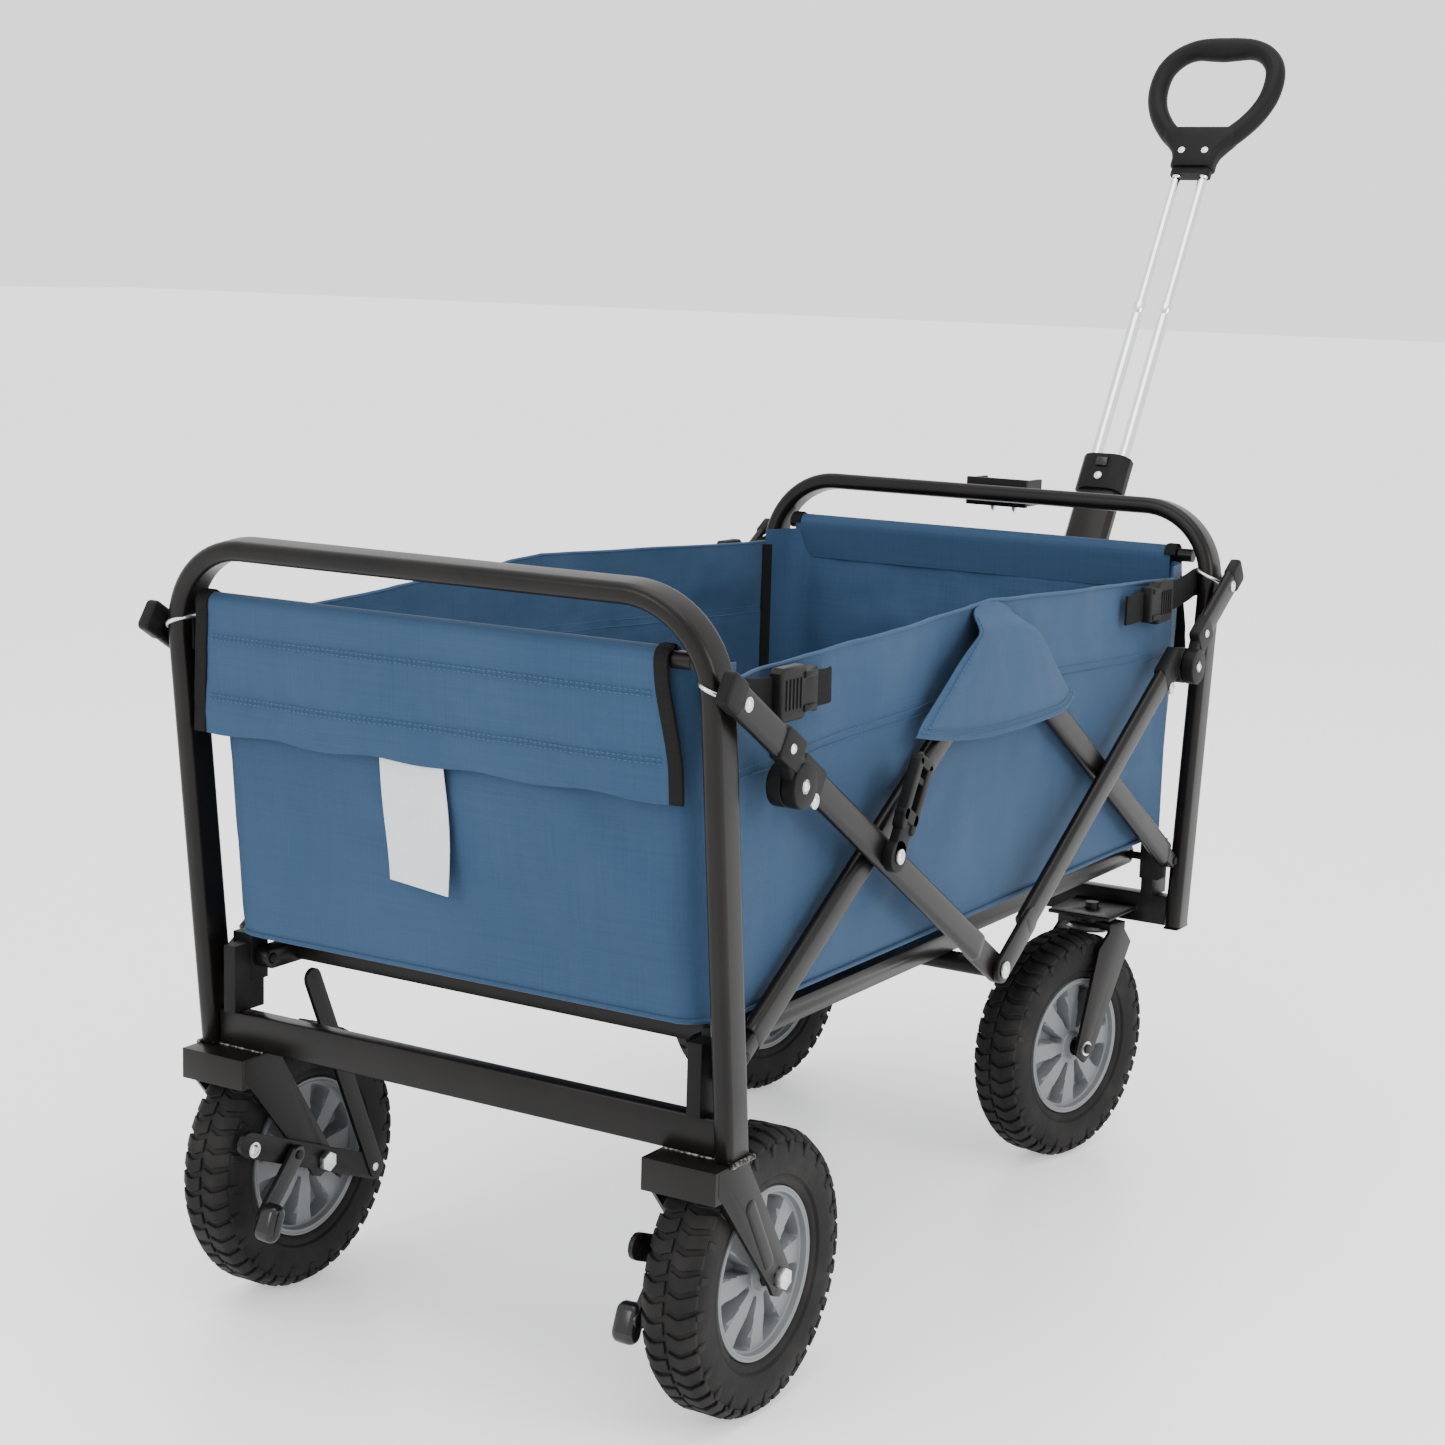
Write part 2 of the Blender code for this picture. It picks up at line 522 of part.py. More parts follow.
def handle_parts(bodies, looks):
    at = (HANDLE_Y, HANDLE_Z)
    piece("handle_base_tube", [handle_section(0.022, 0.047, -0.016, CAP_TOP - 0.016)],
          bodies["handle"], looks["black"],
          [handle_section(0.019, 0.044, -0.020, CAP_TOP),
           cylinder((-0.030, *at), (0.030, *at), AXLE_R)])
    window = (HANDLE_Y + 0.0095, HANDLE_Y + 0.020)
    piece("handle_cap", [handle_section(0.029, 0.053, CAP_LOW, CAP_TOP)],
          bodies["handle"], looks["black"],
          [handle_section(0.0228, 0.0478, CAP_LOW - 0.010, CAP_TOP - 0.0155),
           *twin(CAP_TOP - 0.020, CAP_TOP + 0.010, LOWER_R + 0.0006),
           box((-0.0065, window[0] + 0.002, HANDLE_Z + CAP_TOP - 0.0150),
               (0.0065, window[1], HANDLE_Z + CAP_TOP - 0.0045))])
    piece("handle_release_button",
          [box((-0.0060, window[0] + 0.0040, HANDLE_Z + CAP_TOP - 0.0146),
               (0.0060, HANDLE_Y + 0.0165, HANDLE_Z + CAP_TOP - 0.0049))],
          bodies["button"], looks["grey"])
    bridge = handle_section(0.012, 0.036, LOWER_LOW - 0.006, LOWER_LOW + 0.004)
    collar = handle_section(0.0145, 0.0445, LOWER_TOP - 0.010, LOWER_TOP + 0.0010)
    piece("handle_lower_tubes", [collar, *twin(LOWER_LOW, LOWER_TOP - 0.0005, LOWER_R), bridge],
          bodies["lower"], looks["chrome"],
          twin(LOWER_LOW + 0.008, LOWER_TOP + 0.010, LOWER_BORE))
    yoke = handle_section(0.014, 0.043, UPPER_TOP - 0.008, UPPER_TOP - GAP)
    piece("handle_upper_tubes", [yoke, *twin(UPPER_LOW, UPPER_TOP - 0.001, UPPER_R)],
          bodies["upper"], looks["chrome"])
    grip(bodies["upper"], looks)


def grip(body, looks):
    """A closed D: narrow where it meets the rods, and widest at the hand bar."""
    bar = 0.011
    half, low, high = GRIP_WIDE / 2 - bar, UPPER_TOP + bar, GRIP_TOP - bar
    corners = [(-0.026, low, 0.020), (0.026, low, 0.020), (half, high - 0.045, 0.030),
               (half, high, 0.030), (-half, high, 0.030), (-half, high - 0.045, 0.030)]
    path = []
    count = len(corners)
    for i, (x, s, r) in enumerate(corners):
        here = Vector((x, s))
        before = (Vector(corners[i - 1][:2]) - here).normalized()
        after = (Vector(corners[(i + 1) % count][:2]) - here).normalized()
        start, end = here + before * r * 0.7, here + after * r * 0.7
        for k in range(4):
            t = k / 3
            point = start * (1 - t) ** 2 + here * 2 * t * (1 - t) + end * t ** 2
            path.append((point.x, HANDLE_Y, HANDLE_Z + point.y))
    loop = swept(path, circle((0, 0), bar, 10), Vector((0, 1, 0)), closed=True)
    root = handle_section(0.0225, 0.052, UPPER_TOP, UPPER_TOP + 0.024)
    piece("handle_grip", [loop, root], body, looks["black"])


def handle_mounts(body, looks):
    face = -(post_y(FRONT_BAR_Z) + 0.007 + GAP)
    back = box((-0.040, face - 0.004, FRONT_BAR_Z - 0.018), (0.040, face, FRONT_BAR_Z + 0.020))
    cheeks = [plate([(face - 0.003, FRONT_BAR_Z - 0.017), (face - 0.003, FRONT_BAR_Z + 0.019),
                     (HANDLE_Y, HANDLE_Z + 0.014), (HANDLE_Y - 0.014, HANDLE_Z),
                     (HANDLE_Y, HANDLE_Z - 0.014)],
                    side * 0.0270, side * 0.0305) for side in (-1, 1)]
    pin = cylinder((-0.034, HANDLE_Y, HANDLE_Z), (0.034, HANDLE_Y, HANDLE_Z), AXLE_R - 0.0008)
    piece("handle_bracket", [back, *cheeks, pin], body, looks["frame"])
    low, high = TOP_Z - 0.013, TOP_Z + 0.013
    bar_face = -(post_y(high) + TUBE_DEEP / 2 + GAP)
    block = box((-0.031, bar_face - 0.005, low), (0.031, bar_face, high))
    arms = [box((side * 0.0262, bar_face - 0.036, low + 0.001),
                (side * 0.0305, bar_face - 0.004, high - 0.001)) for side in (-1, 1)]
    piece("handle_clip", [block, *arms], body, looks["black"])


# ---------------------------------------------------------------- assembly
def build():
    for old in list(bpy.data.objects):
        bpy.data.objects.remove(old, do_unlink=True)
    looks = make_finishes()
    cross, top, bottom = arm_points()
    wagon = moving_body("wagon", (0, 0, 0), None)

    rear_long = moving_body("axis_rear_long_arms", (0, PIVOT_Y, PIVOT_Z), wagon)
    front_long = moving_body("axis_front_long_arms", (0, *top), rear_long)
    front = moving_body("axis_front_frame", (0, -PIVOT_Y, PIVOT_Z), front_long)
    rear_short = moving_body("axis_rear_short_arms", (0, *cross), rear_long)
    front_short = moving_body("axis_front_short_arms", (0, -cross[0], cross[1]), front_long)
    centre = moving_body("axis_centre_tube", (0, *bottom), rear_short)
    latch = moving_body("axis_fold_latch", (0, *cross), rear_long)
    rear_link = moving_body("axis_rear_links", (0, TOP_BOLT_Y, TOP_BOLT_Z), wagon)
    front_link = moving_body("axis_front_links", (0, -TOP_BOLT_Y, TOP_BOLT_Z), front)
    rear_floor = moving_body("axis_rear_floor", (0, PIVOT_Y, PIVOT_Z), wagon)
    front_floor = moving_body("axis_front_floor", (0, -PIVOT_Y, PIVOT_Z), front)

    rear_bar = end_frame("rear", 1, wagon, POST_Z + 0.0030, CROSSBAR_Z, looks)
    piece("rear_crossbar", [rear_bar], wagon, looks["frame"])
    bag_end("bag_rear_wall", 1, wagon, looks)

    plates = []
    for side in (-1, 1):
        face = -(post_y(FRONT_BAR_Z) - 0.0065)
        plates.append(plate_with_stem_hole(side * CASTER_X, face))
    front_foot = FRONT_BAR_Z - CROSSBAR_HALF + 0.0005
    front_bar = end_frame("front", -1, front, front_foot, FRONT_BAR_Z, looks)
    piece("front_crossbar", [front_bar, *plates], front, looks["frame"])
    bag_end("bag_front_wall", -1, front, looks)
    handle_mounts(front, looks)

    for side_name, side in (("right", -1), ("left", 1)):
        rear_fork(side_name, side, wagon, looks)
        spin = moving_body(f"axis_rear_wheel_{side_name}",
                           (side * REAR_WHEEL_X, REAR_AXLE_Y, WHEEL_R), wagon)
        wheel(f"rear_wheel_{side_name}", spin["pivot"], spin, looks)
        pedal = moving_body(f"axis_brake_pedal_{side_name}", (side * 0.167, *PEDAL_PIN), wagon)
        brake(side_name, side, wagon, pedal, looks)

        swivel = moving_body(f"axis_caster_{side_name}", (side * CASTER_X, CASTER_Y, CROWN_HIGH),
                             front, (0, 0, -CASTER_YAW))
        caster_fork(side_name, side, swivel, looks)
        spin = moving_body(f"axis_front_wheel_{side_name}",
                           (side * CASTER_X, CASTER_Y + TRAIL, WHEEL_R), swivel)
        wheel(f"front_wheel_{side_name}", spin["pivot"], spin, looks)

        long_arm(f"rear_long_arm_{side_name}", 1, side, rear_long, looks, False)
        long_arm(f"front_long_arm_{side_name}", -1, side, front_long, looks, True)
        short_arm(f"rear_short_arm_{side_name}", 1, side, rear_short, looks, False)
        short_arm(f"front_short_arm_{side_name}", -1, side, front_short, looks, True)
        knee_link(f"rear_knee_link_{side_name}", 1, side, rear_link, looks)
        knee_link(f"front_knee_link_{side_name}", -1, side, front_link, looks)
        hinge_block(f"rear_hinge_block_{side_name}", 1, side,
                    CROSSBAR_Z + CROSSBAR_HALF + GAP, wagon, looks, REAR_RAIL[0])
        hinge_block(f"front_hinge_block_{side_name}", -1, side,
                    FRONT_BAR_Z + CROSSBAR_HALF + GAP, front, looks, FRONT_RAIL[0])
        bag_side(f"bag_rear_side_{side_name}", 1, side, wagon, looks)
        bag_side(f"bag_front_side_{side_name}", -1, side, front, looks)

    floor_half("rear", 1, REAR_RAIL, rear_floor, looks)
    floor_half("front", -1, FRONT_RAIL, front_floor, looks)
    centre_tube(centre, looks)
    fold_latch(latch, looks)

    pivot = (0, HANDLE_Y, HANDLE_Z)
    handle = moving_body("axis_handle", pivot, front, (HANDLE_LEAN, 0, 0))
    lower = moving_body("axis_handle_lower", pivot, handle)
    upper = moving_body("axis_handle_upper", pivot, lower)
    button = moving_body("axis_button", (0, HANDLE_Y + 0.0165, HANDLE_Z + CAP_TOP - 0.01), handle)
    handle_parts({"handle": handle, "lower": lower, "upper": upper, "button": button}, looks)


build()
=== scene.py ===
# %% [markdown]
# # A folding wagon, dressed piece by piece
# The working model of the wagon is loaded as a fixed frame: posts, arms, axles and joints are
# already where they have to be. This lesson builds what the eye sees around it: smooth tube,
# moulded plastic, rubber, sewn canvas and webbing. Every piece rides on the body it moves with.

# %% The frame
import json
import math

import bmesh
import bpy
from mathutils import Matrix, Vector, noise

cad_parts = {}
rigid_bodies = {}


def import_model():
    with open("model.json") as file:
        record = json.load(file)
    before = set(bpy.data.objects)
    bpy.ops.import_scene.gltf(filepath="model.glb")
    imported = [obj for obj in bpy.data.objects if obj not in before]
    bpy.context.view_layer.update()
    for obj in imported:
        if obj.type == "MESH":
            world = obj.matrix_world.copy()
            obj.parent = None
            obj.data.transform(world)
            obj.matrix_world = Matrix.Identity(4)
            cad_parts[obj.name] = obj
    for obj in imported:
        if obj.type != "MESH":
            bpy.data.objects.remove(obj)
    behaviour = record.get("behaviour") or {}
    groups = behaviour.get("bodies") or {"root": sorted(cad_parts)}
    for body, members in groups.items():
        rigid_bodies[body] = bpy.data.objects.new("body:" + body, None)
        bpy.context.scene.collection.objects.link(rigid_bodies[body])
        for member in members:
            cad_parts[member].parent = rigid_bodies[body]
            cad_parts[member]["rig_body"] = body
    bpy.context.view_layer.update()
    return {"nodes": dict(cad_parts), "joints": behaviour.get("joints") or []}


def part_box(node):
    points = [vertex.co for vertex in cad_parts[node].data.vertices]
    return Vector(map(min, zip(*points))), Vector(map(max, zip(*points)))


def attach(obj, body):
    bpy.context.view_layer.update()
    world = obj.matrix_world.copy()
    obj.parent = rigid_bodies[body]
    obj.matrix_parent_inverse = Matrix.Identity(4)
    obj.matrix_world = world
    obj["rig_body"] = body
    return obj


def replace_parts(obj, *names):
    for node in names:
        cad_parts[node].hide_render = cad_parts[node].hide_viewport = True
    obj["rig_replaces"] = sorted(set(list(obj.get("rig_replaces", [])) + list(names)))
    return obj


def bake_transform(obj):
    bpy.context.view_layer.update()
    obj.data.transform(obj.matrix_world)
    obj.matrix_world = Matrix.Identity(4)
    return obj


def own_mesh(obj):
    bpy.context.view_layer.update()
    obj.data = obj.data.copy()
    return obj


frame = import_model()
nodes = frame["nodes"]
low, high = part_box("centre_cross_tube")
MID = (low.y + high.y) / 2          # the fold's middle plane; lengths below are from it
SIDES = {"right": -1, "left": 1}
ENDS = {"rear": 1, "front": -1}

# %% [markdown]
# The camera stands behind the wagon's right corner, a little above the bag. It comes first,
# because every later choice of detail is judged from here. A long lens keeps the posts parallel,
# so the eye point is worked out from two angles and one place rather than from a target.

# %% Camera
EYE = Vector((-1.0987, MID + 1.8361, 0.7928))
TURN, RISE, ROLL = math.radians(211.49), math.radians(9.96), math.radians(1.655)
back = Vector((math.sin(TURN) * math.cos(RISE), -math.cos(TURN) * math.cos(RISE),
               math.sin(RISE)))
level = Vector((math.cos(TURN), math.sin(TURN), 0))
upright = back.cross(level)
right = level * math.cos(ROLL) + upright * math.sin(ROLL)
upward = upright * math.cos(ROLL) - level * math.sin(ROLL)
camera = bpy.data.objects.new("camera", bpy.data.cameras.new("camera"))
camera.data.lens, camera.data.sensor_width = 66.35, 36
camera.matrix_world = Matrix.Translation(EYE) @ Matrix((right, upward, back)).transposed().to_4x4()
bpy.context.scene.collection.objects.link(camera)
bpy.context.scene.camera = camera
print("camera", tuple(round(v, 3) for v in EYE))

# %% [markdown]
# A product picture is usually lit by large soft boxes over a white sweep. One big area
# light overhead, one broad one from the viewer's left and a pale world give soft shadows, and
# long highlights on the tubes.

# %% Floor and light
def area_light(name, place, aim, size, power):
    lamp = bpy.data.lights.new(name, "AREA")
    lamp.shape, lamp.size, lamp.energy = "DISK", size, power
    lamp_object = bpy.data.objects.new(name, lamp)
    direction = Vector(aim) - Vector(place)
    turn = direction.to_track_quat("-Z", "Y").to_matrix().to_4x4()
    lamp_object.matrix_world = Matrix.Translation(Vector(place)) @ turn
    bpy.context.scene.collection.objects.link(lamp_object)
    return lamp_object


area_light("sky_panel", (-0.3, MID + 0.3, 3.2), (0, MID, 0.3), 3.0, 60)
area_light("side_panel", (-3.0, MID + 0.2, 1.5), (0, MID, 0.4), 1.4, 40)
area_light("back_panel", (0.8, MID + 3.2, 1.7), (0, MID, 0.4), 1.2, 30)
world = bpy.data.worlds.new("studio")
bpy.context.scene.world = world
world.use_nodes = True
world.node_tree.nodes["Background"].inputs["Color"].default_value = (1, 1, 1, 1)
world.node_tree.nodes["Background"].inputs["Strength"].default_value = 1.6
sweep_mesh = bpy.data.meshes.new("floor")
REACH = 30
sweep_mesh.from_pydata([(-REACH, -REACH, 0), (REACH, -REACH, 0), (REACH, REACH, 0),
                        (-REACH, REACH, 0)], [], [(0, 1, 2, 3)])
floor = bpy.data.objects.new("floor", sweep_mesh)
bpy.context.scene.collection.objects.link(floor)
sweep_paint = bpy.data.materials.new("floor_paint")
sweep_paint.use_nodes = True
paint = sweep_paint.node_tree.nodes["Principled BSDF"]
paint.inputs["Base Color"].default_value = (0.86, 0.86, 0.86, 1)
paint.inputs["Roughness"].default_value = 0.32
paint.inputs["Emission Color"].default_value = (1, 1, 1, 1)
paint.inputs["Emission Strength"].default_value = 0.50
sweep_mesh.materials.append(sweep_paint)

# %% [markdown]
# Materials are written as sums. A small class wraps a node socket, so that `0.4 + grain * 0.1`
# adds the Math nodes by itself, and one method reaches any other node. Each finish then reads
# like the recipe it is.

# %% Shader sums
class Wire:
    """One output socket of a node tree, with arithmetic."""

    def __init__(self, tree, socket):
        self.tree, self.socket = tree, socket

    def node(self, kind, settings=None, out=0, **values):
        """Adds a node of that kind; values name its input sockets, or number them."""
        made = self.tree.nodes.new(kind)
        for key, value in (settings or {}).items():
            setattr(made, key, value)
        for key, value in values.items():
            socket = made.inputs[int(key[1:])] if key[0] == "_" else made.inputs[
                key.replace("_", " ")]
            if isinstance(value, Wire):
                self.tree.links.new(value.socket, socket)
            else:
                socket.default_value = value
        return Wire(self.tree, made.outputs[out])

    def maths(self, operation, first, second=0.0, clamp=False):
        return self.node("ShaderNodeMath", {"operation": operation, "use_clamp": clamp},
                         _0=first, _1=second)

    def __add__(self, other):
        return self.maths("ADD", self, other)

    def __sub__(self, other):
        return self.maths("SUBTRACT", self, other)

    def __rsub__(self, other):
        return self.maths("SUBTRACT", other, self)

    def __mul__(self, other):
        return self.maths("MULTIPLY", self, other)

    __radd__, __rmul__ = __add__, __mul__

    def power(self, exponent):
        return self.maths("POWER", self, exponent)

    def step(self, start, end):
        """0 below start, 1 above end, smooth between."""
        return self.node("ShaderNodeMapRange", {"interpolation_type": "SMOOTHSTEP"}, Value=self,
                         From_Min=start, From_Max=end)

    def noise(self, scale, detail=2.0, roughness=0.5, out=0):
        """Noise over this vector."""
        return self.node("ShaderNodeTexNoise", None, out, Vector=self, Scale=scale,
                         Detail=detail, Roughness=roughness)

    def colour(self, low, high):
        """From the low colour to the high one as this value goes from 0 to 1."""
        return self.node("ShaderNodeMix", {"data_type": "RGBA"}, 2, _0=self,
                         _6=(*low, 1), _7=(*high, 1))

    def bump(self, distance, strength=1.0):
        """A normal from this height, in metres."""
        return self.node("ShaderNodeBump", None, Height=self, Distance=distance,
                         Strength=strength)

    def part(self, axis):
        """One component of this vector."""
        return self.node("ShaderNodeSeparateXYZ", None, "XYZ".index(axis), Vector=self)


def finish(name, recipe, **constants):
    """A Principled material: recipe(place, weave) returns what varies over the surface."""
    material = bpy.data.materials.new(name)
    material.use_nodes = True
    tree = material.node_tree
    shader = tree.nodes["Principled BSDF"]
    for key, value in constants.items():
        shader.inputs[key.replace("_", " ")].default_value = value
    spot = tree.nodes.new("ShaderNodeTexCoord")
    varying = recipe(Wire(tree, spot.outputs["Object"]), Wire(tree, spot.outputs["UV"]))
    for key, value in varying.items():
        tree.links.new(value.socket, shader.inputs[key.replace("_", " ")])
    return material


print("shader sums ready")

# %% [markdown]
# Powder coat is a baked skin: nearly black, warm, satin, with a fine orange-peel swell and a few
# duller patches where it is handled. Zinc and chrome are bare metal, told apart by roughness.

# %% Metal finishes
def powder_coat(place, weave):
    peel = place.noise(1400, 2)
    dust = place.noise(18, 4)
    return {"Base_Color": dust.step(0.35, 0.8).colour((0.0042, 0.0034, 0.0031),
                                                      (0.0078, 0.0064, 0.0057)),
            "Roughness": 0.24 + dust * 0.12 + peel * 0.05,
            "Normal": (peel + place.noise(420, 1) * 0.6).bump(0.00006)}


def zinc_plate(place, weave):
    spangle = place.node("ShaderNodeTexVoronoi", None, 0, Vector=place, Scale=900.0)
    return {"Base_Color": spangle.colour((0.60, 0.61, 0.62), (0.80, 0.80, 0.79)),
            "Roughness": 0.26 + spangle * 0.2,
            "Normal": place.noise(2500, 2).bump(0.00003)}


def chrome_tube(place, weave):
    smear = place.noise(60, 3)
    return {"Base_Color": smear.colour((0.74, 0.75, 0.77), (0.86, 0.87, 0.88)),
            "Roughness": 0.09 + smear * 0.12,
            "Normal": smear.bump(0.00004)}


def weld_metal(place, weave):
    blots = place.noise(260, 3)
    return {"Base_Color": blots.step(0.45, 0.6).colour((0.016, 0.014, 0.013),
                                                       (0.19, 0.17, 0.15)),
            "Roughness": 0.34 + blots * 0.2,
            "Normal": blots.bump(0.0004)}


COAT = finish("powder_coat", powder_coat, Specular_IOR_Level=0.19)
ZINC = finish("zinc_plate", zinc_plate, Metallic=1.0)
CHROME = finish("bright_chrome", chrome_tube, Metallic=1.0)
WELD = finish("weld_bead", weld_metal, Metallic=0.6)
print("metal finishes", [m.name for m in (COAT, ZINC, CHROME, WELD)])

# %% [markdown]
# Moulded plastic takes the mould's fine spark grain, and shines where hands polish it. The rims
# are a mid grey nylon. Tyre rubber is the roughest of the three, with a bloom of pale dust in the
# grain.

# %% Plastic and rubber finishes
def black_plastic(place, weave):
    grain = place.noise(2200, 3)
    rubbed = place.noise(14, 3).step(0.4, 0.75)
    return {"Base_Color": rubbed.colour((0.0045, 0.0046, 0.0049), (0.0080, 0.0080, 0.0084)),
            "Roughness": 0.46 + grain * 0.12 - rubbed * 0.1,
            "Normal": grain.bump(0.00008)}


def gloss_plastic(place, weave):
    swirl = place.noise(45, 3)
    return {"Base_Color": swirl.colour((0.006, 0.006, 0.007), (0.012, 0.012, 0.013)),
            "Roughness": 0.13 + swirl * 0.14,
            "Normal": swirl.bump(0.00012)}


def grey_nylon(place, weave):
    grain = place.noise(1500, 3)
    cloud = place.noise(22, 3)
    return {"Base_Color": cloud.colour((0.115, 0.124, 0.130), (0.160, 0.170, 0.176)),
            "Roughness": 0.36 + grain * 0.16,
            "Normal": grain.bump(0.00007)}


def tyre_rubber(place, weave):
    pores = place.noise(1700, 4)
    bloom = place.noise(30, 5).step(0.42, 0.75)
    return {"Base_Color": bloom.colour((0.0062, 0.0056, 0.0055), (0.0150, 0.0135, 0.0128)),
            "Roughness": 0.56 + pores * 0.2,
            "Normal": (pores * 0.6 + place.noise(240, 3)).bump(0.0002)}


PLASTIC = finish("black_plastic", black_plastic, Specular_IOR_Level=0.13)
GLOSS = finish("gloss_plastic", gloss_plastic, Specular_IOR_Level=0.35)
NYLON = finish("grey_nylon", grey_nylon)
RUBBER = finish("tyre_rubber", tyre_rubber, Specular_IOR_Level=0.18)
print("plastic finishes", [m.name for m in (PLASTIC, GLOSS, NYLON, RUBBER)])

# %% [markdown]
# The bag is a plain-woven coated polyester. Its pattern reads a UV map measured in metres along
# warp and weft, so the threads keep one size on every panel and follow its folds. Two sine waves
# at right angles make the over-and-under of the yarns, and slow noise makes thick and thin yarn.

# %% Woven finishes
def woven(dark, light, pitch, relief):
    """A plain weave with that many metres between yarns."""
    def recipe(place, weave):
        turns = math.tau / pitch
        across = weave.part("X") * turns
        along = weave.part("Y") * turns
        wave = lambda value: value.maths("SINE", value)
        cloth = wave(across) * wave(along) * 0.5 + 0.5
        yarn = (weave.node("ShaderNodeMapping", None, Vector=weave,
                           Scale=(9.0, 700.0, 1.0)).noise(1.0, 2)
                + weave.node("ShaderNodeMapping", None, Vector=weave,
                             Scale=(700.0, 9.0, 1.0)).noise(1.0, 2)) * 0.5
        cloud = place.noise(7, 4)
        tone = (cloth * 0.28 + yarn * 0.5 + cloud * 0.42)
        return {"Base_Color": tone.step(0.25, 0.95).colour(dark, light),
                "Roughness": 0.62 + cloth * 0.14,
                "Normal": (cloth + yarn * 1.2).bump(relief)}
    return recipe


CANVAS = finish("blue_canvas", woven((0.0150, 0.0420, 0.0900), (0.0310, 0.0700, 0.1330), 0.0011,
                                     0.00016), Specular_IOR_Level=0.16,
                Sheen_Weight=0.04, Sheen_Roughness=0.5)
THREAD = finish("blue_thread", woven((0.026, 0.062, 0.120), (0.045, 0.092, 0.165), 0.0008,
                                     0.0001), Specular_IOR_Level=0.2)
TAPE = finish("black_webbing", woven((0.0040, 0.0040, 0.0043), (0.0110, 0.0110, 0.0116), 0.0018,
                                     0.0004), Specular_IOR_Level=0.10)
WOVEN = (CANVAS, THREAD, TAPE)
print("woven finishes", [m.name for m in WOVEN])

# %% [markdown]
# The frame is bent flat-oval tube, so one sweep makes most of the wagon: a closed outline is
# carried along a path, one of its sides always facing the same way. Every ring of corners is
# placed one by one in a bmesh, which keeps the outline's thin and wide sides where they belong.

# %% Shapes
def at(x, y, z):
    """A point measured from the fold's middle plane."""
    return Vector((x, MID + y, z))


def oval(wide, thin, steps=7):
    """A stadium outline, wide along its first axis."""
    half, r = (wide - thin) / 2, thin / 2
    corners = []
    for way in (1, -1):
        for i in range(steps + 1):
            angle = -math.pi / 2 + math.pi * i / steps
            corners.append((way * (half + r * math.cos(angle)), way * r * math.sin(angle)))
    return corners


def soft_box(wide, thin, r, steps=6):
    """A rectangle with round corners, wide along its first axis."""
    corners = []
    for k, (sx, sy) in enumerate(((1, 1), (-1, 1), (-1, -1), (1, -1))):
        for i in range(steps + 1):
            angle = math.pi / 2 * (k + i / steps)
            corners.append((sx * (wide / 2 - r) + r * math.cos(angle),
                            sy * (thin / 2 - r) + r * math.sin(angle)))
    return corners


def ring(r, steps=14):
    return [(r * math.cos(math.tau * i / steps), r * math.sin(math.tau * i / steps))
            for i in range(steps)]


def sweep(path, outline, out, closed=False, size=None):
    """Carries an outline along a path; its second axis keeps to the out direction."""
    shape = bmesh.new()
    rings, count = [], len(path)
    out = Vector(out)
    for i, point in enumerate(path):
        before = path[i - 1] if closed or i else point
        after = path[(i + 1) % count] if closed or i < count - 1 else point
        ahead = (after - before).normalized()
        face = (out - ahead * out.dot(ahead)).normalized()
        side = ahead.cross(face)
        grow = size(i) if size else (1, 1)
        rings.append([shape.verts.new(point + side * u * grow[0] + face * v * grow[1])
                      for u, v in outline])
    for i in range(count if closed else count - 1):
        first, second = rings[i], rings[(i + 1) % count]
        for j in range(len(outline)):
            shape.faces.new((first[j - 1], first[j], second[j], second[j - 1]))
    if not closed:
        shape.faces.new(rings[0])
        shape.faces.new(rings[-1])
    bmesh.ops.recalc_face_normals(shape, faces=shape.faces)
    return shape


def soften(shape, rounding, sharper_than=35, segments=2):
    """Rounds every edge sharper than that many degrees."""
    edges = [e for e in shape.edges
             if e.is_manifold and e.calc_face_angle(0) > math.radians(sharper_than)]
    bmesh.ops.bevel(shape, geom=edges, offset=rounding, segments=segments, profile=0.5,
                    affect="EDGES", clamp_overlap=True)
    return shape


def slab(outline, x0, x1, rounding=0.0008, segments=2):
    """A plate across the wagon from an outline in (y, z), its edges rounded."""
    shape = bmesh.new()
    sheet_face = shape.faces.new([shape.verts.new(at(x0, y, z)) for y, z in outline])
    grown = bmesh.ops.extrude_face_region(shape, geom=[sheet_face])["geom"]
    moved = [v for v in grown if isinstance(v, bmesh.types.BMVert)]
    bmesh.ops.translate(shape, vec=(x1 - x0, 0, 0), verts=moved)
    bmesh.ops.recalc_face_normals(shape, faces=shape.faces)
    return soften(shape, rounding, 50, segments) if rounding else shape


def block(low, high, rounding=0.001, segments=2):
    """A box with rounded edges between two corners."""
    shape = bmesh.new()
    bmesh.ops.create_cube(shape, size=1)
    size = [b - a for a, b in zip(low, high)]
    centre = [(a + b) / 2 for a, b in zip(low, high)]
    bmesh.ops.scale(shape, vec=size, verts=shape.verts)
    bmesh.ops.translate(shape, vec=centre, verts=shape.verts)
    return soften(shape, rounding, 50, segments)


def capsule(start, end, r, steps=10):
    """The outline of a bar with round ends, in (y, z)."""
    lean = math.atan2(end[1] - start[1], end[0] - start[0])
    corners = []
    for (y, z), first in ((end, lean - math.pi / 2), (start, lean + math.pi / 2)):
        corners += [(y + r * math.cos(first + math.pi * i / steps),
                     z + r * math.sin(first + math.pi * i / steps)) for i in range(steps + 1)]
    return corners


